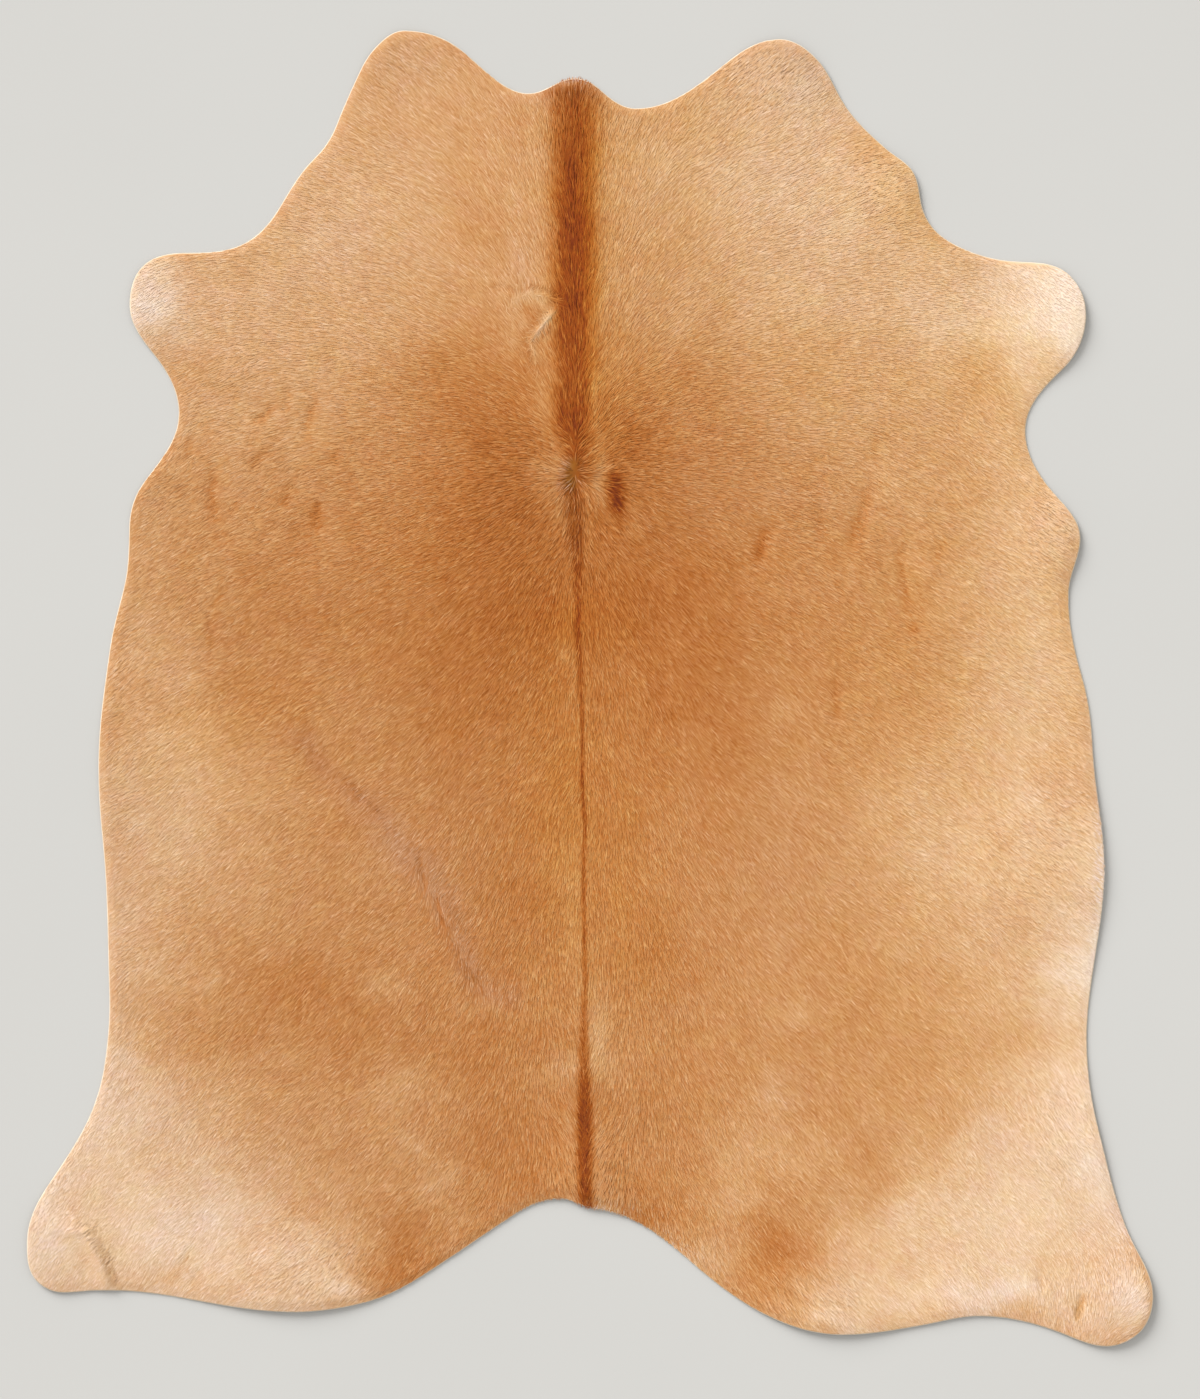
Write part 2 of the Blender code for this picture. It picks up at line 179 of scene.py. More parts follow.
TONE_PATCHES = (
    Patch("saddle", -50, 150, 380, 430, 0.14),
    Patch("saddle_left", -150, 250, 150, 230, 0.12),
    Patch("saddle_left_front", -190, 470, 110, 90, 0.06),
    Patch("saddle_left_back", -110, 80, 170, 90, 0.06),
    Patch("saddle_right", 100, 170, 170, 200, 0.09),
    Patch("withers_left", -150, 370, 70, 90, 0.06),
    Patch("withers_right", 60, 390, 80, 80, 0.12),
    Patch("loin", -60, -420, 260, 330, 0.08),
    Patch("belt_left", -450, -490, 160, 70, 0.12),
    Patch("belt_left_edge", -600, -560, 80, 34, 0.03, 20),
    Patch("barrel_left", -520, 130, 130, 120, 0.08),
    Patch("rump_left", -130, -760, 150, 80, 0.06),
    Patch("rump_left_inner", -150, -640, 90, 160, 0.05),
    Patch("rump_left_corner", -300, -905, 60, 80, 0.24),
    Patch("rump_right_corner", 305, -900, 60, 90, 0.20),
    Patch("rump_right", 120, -850, 70, 40, 0.06),
    Patch("rump_right_inner", 120, -700, 90, 110, 0.05),
    Patch("rump_right_belt", 240, -800, 80, 40, -0.10),
    Patch("neck_left", -390, 800, 260, 300, -0.20),
    Patch("neck_left_inner", -170, 850, 110, 220, -0.05),
    Patch("neck_right", 370, 830, 270, 300, -0.28),
    Patch("neck_right_inner", 150, 850, 100, 220, -0.06),
    Patch("mane_side_left", -100, 600, 40, 110, -0.07, 8),
    Patch("mane_foot_left", -80, 470, 22, 60, -0.06, 12),
    Patch("fore_shank_left", -740, 630, 90, 110, -0.32),
    Patch("shoulder_left", -590, 580, 150, 130, -0.10),
    Patch("fore_shank_right", 780, 610, 150, 120, -0.54),
    Patch("shoulder_right", 560, 560, 170, 200, -0.10),
    Patch("armpit_right", 690, 330, 90, 120, -0.06),
    Patch("flank_right_upper", 750, 160, 150, 330, -0.24),
    Patch("flank_right", 740, -100, 170, 200, -0.10),
    Patch("flank_right_edge", 830, -430, 90, 260, -0.28),
    Patch("flank_right_low", 620, -300, 170, 210, -0.18),
    Patch("barrel_right", 530, -210, 120, 90, -0.09),
    Patch("groin_right", 650, -600, 130, 160, -0.12),
    Patch("flank_left", -760, -130, 190, 280, -0.18),
    Patch("flank_left_low", -780, -380, 110, 150, -0.14),
    Patch("barrel_left_pale", -620, -190, 110, 150, -0.09),
    Patch("thigh_left", -790, -650, 130, 110, -0.26),
    Patch("hind_shank_left", -720, -860, 250, 190, -0.33, -12),
    Patch("hind_tip_left", -930, -900, 70, 110, -0.16),
    Patch("rump_left_pale", -480, -960, 150, 110, -0.22, 10),
    Patch("thigh_right", 790, -680, 130, 210, -0.22),
    Patch("thigh_right_inner", 350, -720, 160, 90, -0.06),
    Patch("hind_shank_right", 640, -880, 260, 150, -0.36),
    Patch("hind_tip_right", 860, -1010, 100, 70, -0.16, -40),
    Patch("rump_right_pale", 450, -990, 140, 80, -0.26),
    Patch("freckle_right", 210, 60, 36, 40, 0.07),
    Patch("freckle_right_low", 210, -140, 40, 60, 0.05),
    Patch("fleck_loin_right", 320, -522, 36, 30, -0.09),
    Patch("fleck_rump_right", 288, -634, 32, 36, -0.12),
    Patch("fleck_rump_left", -304, -640, 50, 40, -0.12, 20),
    Patch("fleck_rump_left_low", -288, -714, 26, 22, -0.08),
    Patch("fleck_rump_right_low", 248, -738, 40, 30, -0.08),
    Patch("fleck_loin_left", -320, -480, 40, 28, -0.10),
    Patch("fleck_tail_left", -250, -775, 40, 30, -0.10),
    Patch("fleck_tail_right", 200, -910, 50, 24, -0.10),
    Patch("neck_left_seam", -185, 850, 50, 120, 0.07),
    Patch("neck_left_low", -340, 550, 70, 50, -0.07),
    Patch("fore_shank_left_heel", -712, 588, 42, 40, -0.12),
    Patch("shoulder_left_pale", -520, 430, 140, 90, -0.06),
    Patch("whorl_pale_left", -76, 362, 24, 30, -0.13, 20),
    Patch("mane_rest_left", -100, 508, 32, 44, 0.07),
    Patch("mane_rest_right", 8, 598, 16, 24, -0.10),
    Patch("shoulder_right_pale", 400, 440, 70, 60, -0.06),
    Patch("throat_right", 650, 640, 60, 50, 0.07),
    Patch("armpit_right_warm", 658, 505, 60, 40, 0.12),
    Patch("neck_right_tip", 345, 985, 40, 40, -0.09),
    Patch("cheek_right", 450, 870, 40, 40, 0.07),
    Patch("neck_right_seam", 150, 890, 50, 60, 0.06),
    Patch("barrel_right_inner", 170, -40, 80, 70, 0.09),
    Patch("saddle_right_low", 100, 110, 80, 60, 0.05),
    Patch("barrel_left_warm", -550, -50, 60, 70, 0.08),
    Patch("flank_left_warm", -745, -285, 40, 50, 0.10),
    Patch("flank_left_edge", -745, -20, 50, 60, 0.06),
    Patch("barrel_right_pale", 290, -150, 40, 50, -0.05),
    Patch("flank_right_mid", 765, -130, 50, 90, 0.09),
    Patch("flank_right_top", 790, 100, 40, 80, 0.07),
    Patch("loin_spine_right", 18, -540, 26, 70, -0.09),
    Patch("loin_spine_left", -32, -380, 24, 160, -0.06),
    Patch("tail_left", -90, -810, 60, 30, 0.09),
    Patch("tail_right", 70, -820, 60, 50, 0.10),
    Patch("rump_left_spine", -45, -715, 20, 40, 0.05),
    Patch("thigh_right_mark", 455, -760, 60, 60, 0.15),
    Patch("thigh_right_belt", 370, -680, 70, 40, 0.10),
    Patch("rump_right_mid", 480, -930, 90, 50, 0.08),
    Patch("rump_right_sole", 480, -1000, 50, 24, 0.10),
    Patch("rump_right_notch", 310, -930, 40, 40, 0.08),
    Patch("rump_right_rim", 375, -1018, 50, 14, -0.14),
    Patch("hind_right_rim", 870, -985, 40, 50, -0.10),
    Patch("hock_right", 770, -880, 60, 60, 0.08),
    Patch("groin_right_mark", 700, -570, 60, 40, 0.09),
    Patch("rump_left_rim", -380, -955, 44, 26, -0.12),
    Patch("rump_left_sole", -530, -960, 60, 20, 0.06),
    Patch("neck_left_front", -115, 900, 26, 50, 0.05),
    Patch("mane_seam_left", -85, 570, 28, 40, 0.06),
    Patch("whorl_pale_right", 6, 316, 9, 26, -0.09),
    Patch("spine_front_pale", -34, 10, 10, 60, -0.06),
    Patch("withers_dark", -25, 338, 14, 26, 0.14),
    Patch("neck_left_high", -330, 900, 120, 90, 0.05),
    Patch("rump_left_high", -330, -590, 130, 60, 0.06),
    Patch("thigh_right_high", 560, -560, 170, 150, 0.04),
    Patch("rump_right_mid_left", 180, -790, 60, 50, 0.07),
    Patch("mane_notch_left", -62, 600, 10, 34, -0.16),
    Patch("mane_left_swirl", -52, 608, 9, 22, -0.08),
    Patch("spine_pale_loin", -6, -465, 40, 20, -0.07),
    Patch("spine_pale_rump", 26, -558, 20, 40, -0.09),
    Patch("rump_pale_left_inner", -70, -615, 50, 22, -0.07),
    Patch("rump_dark_right", 15, -670, 18, 16, 0.09),
    Patch("barrel_fleck_left", -600, 150, 26, 26, -0.08),
    Patch("belt_fleck_left", -605, -475, 40, 16, -0.08),
    Patch("belt_edge_left", -700, -440, 80, 30, -0.05),
    Patch("rump_fleck_inner", -285, -705, 22, 20, -0.07),
    Patch("shank_fleck_left", -665, 620, 30, 30, -0.08),
    Patch("shank_fleck_right", 745, 545, 30, 24, -0.08),
    Patch("throat_fleck_left", -430, 715, 24, 26, -0.07),
    Patch("neck_left_shade", -190, 740, 60, 60, 0.08),
    Patch("flank_left_rim", -775, -90, 30, 60, 0.07),
    Patch("neck_right_low", 300, 585, 70, 60, -0.06),
    Patch("shoulder_right_soft", 430, 360, 120, 50, -0.04),
    Patch("barrel_right_fleck", 590, 150, 40, 50, -0.06),
    Patch("barrel_right_patch", 285, -45, 40, 26, -0.07),
    Patch("loin_fleck_right", 295, -500, 26, 24, -0.06),
    Patch("loin_soft_left", -340, -395, 50, 20, -0.05),
    Patch("barrel_soft_left", -350, -35, 60, 28, -0.06),
    Patch("flank_rim_right", 815, -400, 22, 70, -0.12),
    Patch("thigh_rim_right", 822, -770, 26, 50, -0.12),
    Patch("hock_rim_right", 850, -865, 22, 30, -0.08),
    Patch("sole_pale_right", 650, -965, 60, 24, -0.09),
    Patch("rump_pale_left", -385, -930, 30, 30, -0.09),
    Patch("rump_shade_a", 350, -800, 60, 30, 0.08),
    Patch("rump_shade_b", 490, -790, 40, 30, 0.07),
    Patch("rump_shade_c", 330, -880, 40, 40, 0.08),
    Patch("rump_shade_d", 570, -890, 40, 30, 0.05),
    Patch("rump_shade_e", 280, -975, 30, 20, 0.07),
    Patch("rump_shade_left", -435, -830, 50, 24, 0.07),
    Patch("shank_shade_left", -835, -840, 34, 30, 0.08),
    Patch("tail_shade_right", 95, -845, 40, 16, 0.08),
    Patch("belt_shade_left", -555, -575, 44, 24, 0.06),
    Patch("elbow_shade_right", 705, 270, 40, 50, 0.05),
    Patch("flank_shade_right", 745, -110, 50, 70, 0.04),
    Patch("throat_shade_left", -505, 760, 30, 30, 0.07),
    Patch("flank_fleck_right", 650, -230, 30, 30, 0.05),
    Patch("withers_shade_right", 150, 510, 20, 30, 0.05),
    Patch("withers_shade_left", -235, 515, 24, 24, 0.06),
    Patch("loin_shade_left", -185, -365, 22, 22, 0.06),
    Patch("saddle_shade_right", 225, 115, 40, 34, 0.05),
    Patch("mane_right_amber", 0, 720, 13, 240, -0.05),
    Patch("neck_pale_right", 330, 930, 60, 60, -0.04),
    Patch("whorl_pale_low", -62, 305, 20, 30, -0.08),
    Patch("whorl_pale_inner", -2, 345, 10, 34, -0.07),
    Patch("spine_side_left", -38, 130, 16, 60, -0.05),
    Patch("rump_ridge", -5, -615, 60, 20, -0.09),
    Patch("loin_fleck_left", -180, -500, 24, 18, -0.08),
    Patch("hock_rim_left", -868, -820, 26, 40, -0.10),
    Patch("edge_fleck_left", -745, -590, 30, 18, -0.10),
    Patch("thigh_fleck_left", -595, -800, 34, 70, -0.07),
    Patch("thigh_fleck_right", 610, -730, 70, 34, -0.06),
    Patch("rump_fleck_right", 265, -815, 36, 22, -0.08),
    Patch("sole_fleck_right", 700, -955, 40, 26, -0.07),
    Patch("rump_right_tip", 760, -440, 60, 30, -0.07),
    Patch("armpit_fleck_right", 690, 470, 40, 36, -0.07),
    Patch("shoulder_fleck_right", 570, 600, 60, 60, -0.05),
    Patch("shoulder_fleck_low", 510, 310, 50, 60, -0.06),
    Patch("elbow_fleck_left", -700, 100, 40, 80, -0.05),
    Patch("rump_shade_long", -560, -940, 80, 24, 0.07),
    Patch("fleck_back", -30, 30, 22, 26, -0.08),
    Patch("saddle_left_low", -230, -40, 110, 60, 0.06),
    Patch("loin_shade_right", 120, -430, 70, 70, 0.06),
    Patch("loin_shade_mid", -110, -360, 50, 60, 0.04),
    Patch("barrel_shade_left", -520, -10, 70, 40, 0.05),
    Patch("barrel_shade_right", 200, 180, 90, 60, 0.04),
    Patch("flank_shade_low", 600, -190, 60, 80, 0.05),
    Patch("cheek_shade_right", 430, 860, 60, 40, 0.04),
    Patch("hind_tip_pale_left", -860, -880, 50, 80, -0.10),
    Patch("hind_pale_left", -760, -900, 120, 100, -0.04),
    Patch("hind_tip_pale_right", 830, -990, 70, 50, -0.08),
    Patch("hind_edge_pale_right", 800, -760, 50, 100, -0.05),
    Patch("hind_sole_pale_right", 640, -960, 90, 30, -0.05),
    Patch("fore_tip_pale_left", -710, 610, 50, 60, -0.05),
    Patch("elbow_pale_left", -710, 260, 60, 80, -0.05),
    Patch("thigh_rim_pale_right", 800, -440, 60, 60, -0.07),
    Patch("scar_side_pale", -300, -250, 60, 60, -0.03, 30),
    Patch("loin_pale_left", -310, -470, 50, 40, -0.04),
    Patch("rump_soft_left", -650, -850, 120, 60, -0.04),
    Patch("armpit_soft_left", -640, 400, 26, 30, -0.07),
    Patch("mane_tip_left", -64, 955, 18, 14, 0.20),
    Patch("belt_spot_left", -595, -480, 34, 16, -0.07),
    Patch("rump_spot_right", 325, -672, 26, 20, -0.07),
    Patch("tail_spot_left", -250, -800, 34, 20, -0.06),
    Patch("thigh_spot_right", 580, -430, 40, 24, -0.05),
    Patch("groin_spot_right", 690, -480, 50, 26, -0.05),
    Patch("spine_spot_right", 38, -575, 18, 26, -0.07),
    Patch("loin_spot_right", 295, -400, 24, 30, -0.05),
    Patch("withers_spot_right", 150, 600, 34, 26, -0.07),
    Patch("neck_spot_right", 120, 830, 40, 40, -0.05),
    Patch("mane_spot_left", -62, 440, 20, 24, -0.07),
    Patch("withers_clear_right", 195, 455, 26, 50, 0.07, -20),
    Patch("hind_clear_right", 812, -960, 34, 34, 0.06),
    Patch("edge_clear_right", 780, -565, 30, 40, 0.06),
    Patch("loin_clear_right", 320, -560, 40, 30, 0.05),
    Patch("shank_clear_right", 700, 610, 60, 60, 0.03),
)

STRIPE = (
    StripeRow(1000, -24, 42, 0.42),
    StripeRow(940, -24, 40, 0.50),
    StripeRow(880, -26, 38, 0.52),
    StripeRow(770, -27, 37, 0.56),
    StripeRow(670, -25, 36, 0.60),
    StripeRow(570, -25, 35, 0.50),
    StripeRow(500, -27, 30, 0.39),
    StripeRow(430, -28, 30, 0.33),
    StripeRow(380, -30, 22, 0.21),
    StripeRow(330, -27, 16, 0.12),
    StripeRow(280, -25, 13, 0.19),
    StripeRow(220, -20, 9, 0.22),
    StripeRow(100, -18, 5, 0.24),
    StripeRow(0, -14, 3.5, 0.22),
    StripeRow(-200, -10, 3.5, 0.29),
    StripeRow(-400, -9, 3.5, 0.29),
    StripeRow(-520, -9, 5, 0.30),
    StripeRow(-600, -9, 10, 0.40),
    StripeRow(-700, -9, 12, 0.58),
    StripeRow(-840, -9, 12, 0.56),
)

WARM_PATCHES = (
    Patch("spine_amber", -30, -220, 100, 280, 0.85),
    Patch("spine_amber_front", -30, 110, 60, 50, 0.6),
    Patch("mane_amber", -6, 640, 70, 400, 0.55),
    Patch("side_right", 520, 50, 200, 250, 0.45),
    Patch("shoulder_right", 650, 420, 120, 150, 0.35),
    Patch("thigh_right", 600, -500, 250, 350, 0.25),
    Patch("edge_left", -780, -400, 90, 400, -0.3),
    Patch("hind_left", -850, -900, 250, 120, -0.10),
    Patch("rump_left", -600, -850, 350, 200, -0.25),
    Patch("mane_tip", -34, 968, 58, 24, -4.0),
    Patch("neck_left", -290, 1030, 90, 60, -0.3),
    Patch("neck_right", 280, 1030, 90, 50, -0.4),
    Patch("fore_shank_left", -700, 610, 120, 100, -0.3),
    Patch("shoulder_rose", 200, 300, 120, 90, -0.2),
    Patch("loin_rose", 280, -290, 80, 110, -0.2),
    Patch("neck_right_amber", 160, 890, 90, 90, 0.4),
    Patch("throat_amber", 650, 530, 100, 80, 0.45),
    Patch("barrel_left_amber", -600, -80, 140, 110, 0.35),
    Patch("flank_right_amber", 780, 110, 60, 100, 0.4),
    Patch("thigh_rose", 650, -720, 80, 50, -0.4),
    Patch("hind_right_rose", 850, -985, 60, 70, -0.20),
    Patch("mane_foot_amber", -10, 470, 70, 80, 0.3),
    Patch("saddle_amber", -250, 80, 250, 200, 0.2),
    Patch("loin_mild_rose", 300, -250, 90, 160, -0.25),
    Patch("sole_right_rose", 640, -970, 80, 40, -0.5),
    Patch("rump_right_rose", 370, -940, 60, 60, -0.4),
    Patch("mane_core_amber", -24, 740, 30, 240, 1.3),
    Patch("flank_right_low_rose", 780, -410, 70, 60, -0.15),
    Patch("mane_left_grey", -110, 680, 30, 60, -0.40),
    Patch("throat_right_amber", 530, 770, 90, 90, 0.70),
    Patch("hock_right_rose", 850, -860, 40, 80, -0.60),
    Patch("mane_foot_right", 40, 470, 70, 70, 0.35),
    Patch("saddle_front_amber", 0, 100, 60, 50, 0.35),
    Patch("loin_right_amber", 70, -440, 60, 100, 0.35),
    Patch("hind_left_amber", -780, -840, 70, 60, 0.25),
    Patch("neck_right_mid_amber", 160, 720, 110, 100, 0.40),
    Patch("shoulder_right_amber", 350, 520, 180, 110, 0.30),
    Patch("elbow_right_amber", 720, 200, 60, 40, 0.20),
    Patch("mane_right_glow", 2, 720, 18, 250, 1.00),
    Patch("hock_left_rose", -848, -800, 34, 80, -0.25),
    Patch("scar_rose", -250, -250, 60, 110, -0.30, 30),
    Patch("spine_warm_low", -40, -120, 50, 260, 0.30),
    Patch("spine_warm_right", 60, -280, 40, 160, 0.30),
    Patch("hind_right_soft", 820, -1000, 80, 50, -0.30),
    Patch("thigh_rose_inner", 320, -650, 60, 60, -0.30),
    Patch("tail_rose", -10, -720, 22, 130, -0.5),
    Patch("withers_amber_left", -200, 520, 70, 60, 0.35),
    Patch("withers_amber_right", 150, 490, 70, 50, 0.30),
    Patch("throat_rose_left", -390, 700, 60, 60, -0.35),
    Patch("neck_rose_left", -270, 990, 70, 40, -0.25),
    Patch("thigh_rose_low", 640, -390, 70, 50, -0.25),
    Patch("groin_rose_right", 740, -650, 60, 40, -0.35),
    Patch("elbow_rose_right", 725, 275, 40, 40, -0.40),
    Patch("flank_rose_right", 745, -160, 40, 50, -0.40),
    Patch("cheek_amber_right", 450, 880, 50, 60, 0.40),
    Patch("thigh_amber_left", -740, -770, 80, 50, 0.35),
    Patch("hock_amber_left", -780, -880, 80, 60, 0.25),
)

SWIRL_RIM = ((-128, 600), (-116, 622), (-96, 631), (-72, 627), (-50, 614))
SWIRL_RIDGE = ((-46, 618), (-60, 600), (-77, 580), (-92, 560), (-99, 545))

SKIN_LINES = (
    SkinLine("swirl_rim", SWIRL_RIM, 5, 0.9, -0.12),
    SkinLine("swirl_ridge", SWIRL_RIDGE, 4, 1.6, -0.26, -0.2),
    SkinLine("swirl_foot", ((-97, 560), (-90, 540), (-84, 516)), 5, 0.8, -0.14),
    SkinLine("swirl_shadow", ((-50, 604), (-66, 580), (-84, 558)), 3, -0.9, 0.12),
    SkinLine("swirl_heart", ((-112, 612), (-92, 602), (-72, 600)), 11, 0.0, 0.12, 0.1),
    SkinLine("scar_upper", ((-490, -40), (-440, -110), (-384, -160), (-350, -190)), 19, 0.3, 0.08, -1.1),
    SkinLine(
        "scar_run",
        ((-410, -140), (-354, -183), (-305, -249), (-261, -305), (-228, -369), (-200, -426), (-165, -485)),
        27, 0.7, 0.05, -1.7,
    ),
    SkinLine("scar_foot", ((-232, -390), (-194, -452), (-150, -486), (-84, -490)), 20, 0.5, 0.06, -1.5),
    SkinLine(
        "scar_thread_upper",
        ((-398, -132), (-374, -165), (-350, -184), (-322, -212)),
        3, -0.9, 0.10, -0.6,
    ),
    SkinLine("scar_thread", ((-276, -262), (-270, -294), (-260, -328)), 3.5, -1.2, 0.17, -0.4),
    SkinLine("scar_thread_lower", ((-252, -324), (-243, -354), (-233, -390)), 3.5, -1.2, 0.17, -0.4),
    SkinLine("scar_thread_foot", ((-206, -452), (-186, -466), (-162, -478)), 3, -0.8, 0.10, -0.4),
    # The shoulder and armpit wrinkles are troughs painted darker with shade.
    SkinLine("shoulder_wrinkle_a", ((-484, 486), (-486, 462), (-488, 436)), 6, -1.0, 0.14),
    SkinLine("shoulder_wrinkle_b", ((-504, 468), (-511, 448), (-525, 432), (-546, 427)), 6, -1.0, 0.15),
    SkinLine(
        "shoulder_wrinkle_c",
        ((-439, 482), (-443, 456), (-450, 434), (-456, 414), (-454, 388)),
        6, -1.0, 0.15,
    ),
    SkinLine("shoulder_wrinkle_d", ((-389, 470), (-393, 445), (-396, 424)), 6, -0.8, 0.11),
    SkinLine("shoulder_wrinkle_e", ((-506, 382), (-522, 372), (-535, 360), (-537, 344)), 8, -0.9, 0.14),
    SkinLine("shoulder_wrinkle_f", ((-474, 330), (-484, 306), (-494, 284)), 9, -0.8, 0.14),
    SkinLine("shoulder_wrinkle_g", ((-433, 304), (-435, 280), (-436, 262), (-430, 244)), 8, -1.0, 0.18, 0.1),
    SkinLine("shoulder_wrinkle_h", ((-640, 404), (-641, 386), (-637, 366)), 6, -0.9, 0.14),
    SkinLine(
        "shoulder_wrinkle_i",
        ((-600, 368), (-603, 334), (-605, 300), (-598, 274), (-590, 256)),
        8, -1.0, 0.12,
    ),
    SkinLine("shoulder_wrinkle_j", ((-592, 180), (-606, 100), (-612, 40)), 9, -0.8, 0.08),
    SkinLine("shoulder_wrinkle_k", ((-574, 490), (-566, 474), (-568, 458)), 6, -0.6, 0.09, 0.1),
    SkinLine("shoulder_wrinkle_l", ((-562, 312), (-569, 294), (-573, 276)), 5, -0.6, 0.09),
    SkinLine("shoulder_wrinkle_m", ((-404, 384), (-407, 366), (-403, 350)), 6, -0.6, 0.11, 0.3),
    SkinLine("armpit_wrinkle_a", ((446, 330), (436, 290), (424, 250), (412, 210)), 8, -1.0, 0.12),
    SkinLine("armpit_wrinkle_b", ((500, 250), (498, 220), (502, 170), (506, 104)), 6, -1.0, 0.15),
    SkinLine("armpit_wrinkle_c", ((502, 104), (514, 96), (530, 90)), 8, -0.8, 0.17),
    SkinLine("armpit_wrinkle_d", ((280, 268), (275, 232), (268, 196)), 9, -0.8, 0.20),
    SkinLine("armpit_wrinkle_e", ((398, 24), (392, -16), (398, -60)), 8, -0.6, 0.14),
    SkinLine("armpit_wrinkle_f", ((468, 420), (456, 390), (448, 350)), 6, -0.7, 0.08),
    SkinLine("armpit_wrinkle_g", ((566, 250), (558, 222), (552, 200)), 8, -0.7, 0.09, 0.2),
    SkinLine("armpit_wrinkle_h", ((372, 300), (370, 270), (374, 230)), 6, -0.6, 0.08),
    # The fold's ridge is painted a little paler as lit, and its foot and hollow darker with painted shade.
    SkinLine(
        "hind_fold_left",
        ((-848, -876), (-826, -867), (-807, -870), (-797, -888), (-786, -906), (-776, -932), (-762, -966)),
        8, 3.2, -0.02,
    ),
    SkinLine(
        "hind_fold_left_foot",
        ((-792, -884), (-778, -903), (-768, -926), (-758, -948), (-750, -970)),
        4, -0.8, 0.06, 0.1,
    ),
    SkinLine("hind_fold_left_hollow", ((-862, -880), (-842, -880), (-820, -876)), 8, -0.5, 0.06, 0.1),
    # The puckers and the creases after them, up to the neck crease, are painted darker with shade where they
    # dip or face away from the light, and a little paler where they rise.
    SkinLine(
        "hind_pucker_left_a",
        ((-692, -962), (-670, -942), (-650, -918), (-638, -892)),
        11, 0.4, 0.07, 0.3,
    ),
    SkinLine("hind_pucker_left_b", ((-640, -962), (-628, -940), (-618, -916)), 9, -0.5, 0.04, 0.2),
    SkinLine("hind_pucker_left_c", ((-668, -928), (-654, -900), (-644, -876)), 7, 1.0, -0.02),
    SkinLine("hind_crease_right", ((790, -962), (784, -988), (777, -1016)), 5, -2.4, 0.18, 0.3),
    SkinLine("hind_crease_right_b", ((716, -930), (722, -950), (728, -968)), 6, -1.6, 0.07),
    SkinLine("neck_crease_left", ((-176, 642), (-140, 640), (-108, 634)), 4, -0.8, 0.05),
    SkinLine("back_crease", ((-50, -30), (-10, -24), (30, -34)), 5, -0.6, -0.04, -0.3),
    SkinLine("mane_edge_right", ((6, 520), (12, 430), (14, 360), (6, 290)), 7, 0.0, -0.12),
    SkinLine("mane_edge_left", ((-58, 410), (-52, 350), (-50, 300), (-40, 230)), 9, 0.0, -0.14, 0.1),
    SkinLine("whorl_tuft", ((35, 357), (38, 335), (40, 308), (42, 274)), 11, 0.4, 0.46, 0.2),
    SkinLine("whorl_tuft_side", ((50, 345), (53, 312), (46, 262), (44, 235)), 9, 0.0, 0.15),
    SkinLine("whorl_grey", ((-34, 384), (-30, 346), (-27, 304)), 12, 0.0, 0.0, -9.0),
    SkinLine("whorl_mauve", ((-27, 350), (-25, 290), (-22, 240), (-19, 190)), 10, 0.0, 0.05, -2.6),
    SkinLine("whorl_pale_left", ((-100, 372), (-76, 362), (-60, 330), (-58, 290)), 15, 0.0, -0.05),
    SkinLine("whorl_pale_right", ((12, 372), (9, 335), (7, 295)), 8, 0.0, -0.10, -0.4),
)

COMB_MARKS = (
    CombMark(0, 980, 90),
    CombMark(0, 850, 90),
    CombMark(0, 700, 90),
    CombMark(0, 560, 90),
    CombMark(0, 440, 88),
    CombMark(60, 950, 70),
    CombMark(60, 800, 72),
    CombMark(60, 650, 70),
    CombMark(60, 520, 56),
    CombMark(130, 930, 52),
    CombMark(130, 780, 50),
    CombMark(130, 620, 44),
    CombMark(110, 480, 22),
    CombMark(215, 980, 40),
    CombMark(215, 820, 34),
    CombMark(215, 640, 28),
    CombMark(320, 1000, 36),
    CombMark(320, 820, 22),
    CombMark(320, 640, 15),
    CombMark(450, 820, 14),
    CombMark(450, 660, 8),
    CombMark(560, 620, -8),
    CombMark(720, 610, -36),
    CombMark(230, 480, 4),
    CombMark(380, 480, -4),
    CombMark(540, 480, -20),
    CombMark(660, 430, -36),
    CombMark(30, 385, 34),
    CombMark(90, 370, 2),
    CombMark(200, 350, -6),
    CombMark(350, 340, -14),
    CombMark(500, 330, -26),
    CombMark(700, 300, -38),
    CombMark(0, 285, -90),
    CombMark(40, 280, -42),
    CombMark(110, 250, -34),
    CombMark(250, 230, -28),
    CombMark(0, 150, -90),
    CombMark(75, 150, -60),
    CombMark(160, 130, -46),
    CombMark(300, 110, -36),
    CombMark(500, 110, -32),
    CombMark(720, 110, -36),
    CombMark(0, -50, -90),
    CombMark(75, -80, -62),
    CombMark(160, -100, -49),
    CombMark(300, -120, -40),
    CombMark(520, -120, -35),
    CombMark(760, -120, -36),
    CombMark(0, -250, -90),
    CombMark(0, -400, -92),
    CombMark(90, -320, -68),
    CombMark(200, -340, -53),
    CombMark(340, -350, -44),
    CombMark(560, -350, -39),
    CombMark(790, -350, -38),
    CombMark(25, -540, -108),
    CombMark(96, -560, -74),
    CombMark(190, -570, -57),
    CombMark(320, -580, -47),
    CombMark(500, -580, -42),
    CombMark(735, -620, -50),
    CombMark(25, -700, -114),
    CombMark(25, -820, -112),
    CombMark(96, -780, -78),
    CombMark(190, -780, -58),
    CombMark(320, -820, -47),
    CombMark(460, -880, -45),
    CombMark(640, -840, -45),
    CombMark(800, -840, -50),
    CombMark(880, -1010, -138, Side.RIGHT),
    CombMark(820, -960, -80, Side.RIGHT),
    CombMark(880, -900, -62, Side.LEFT),
)

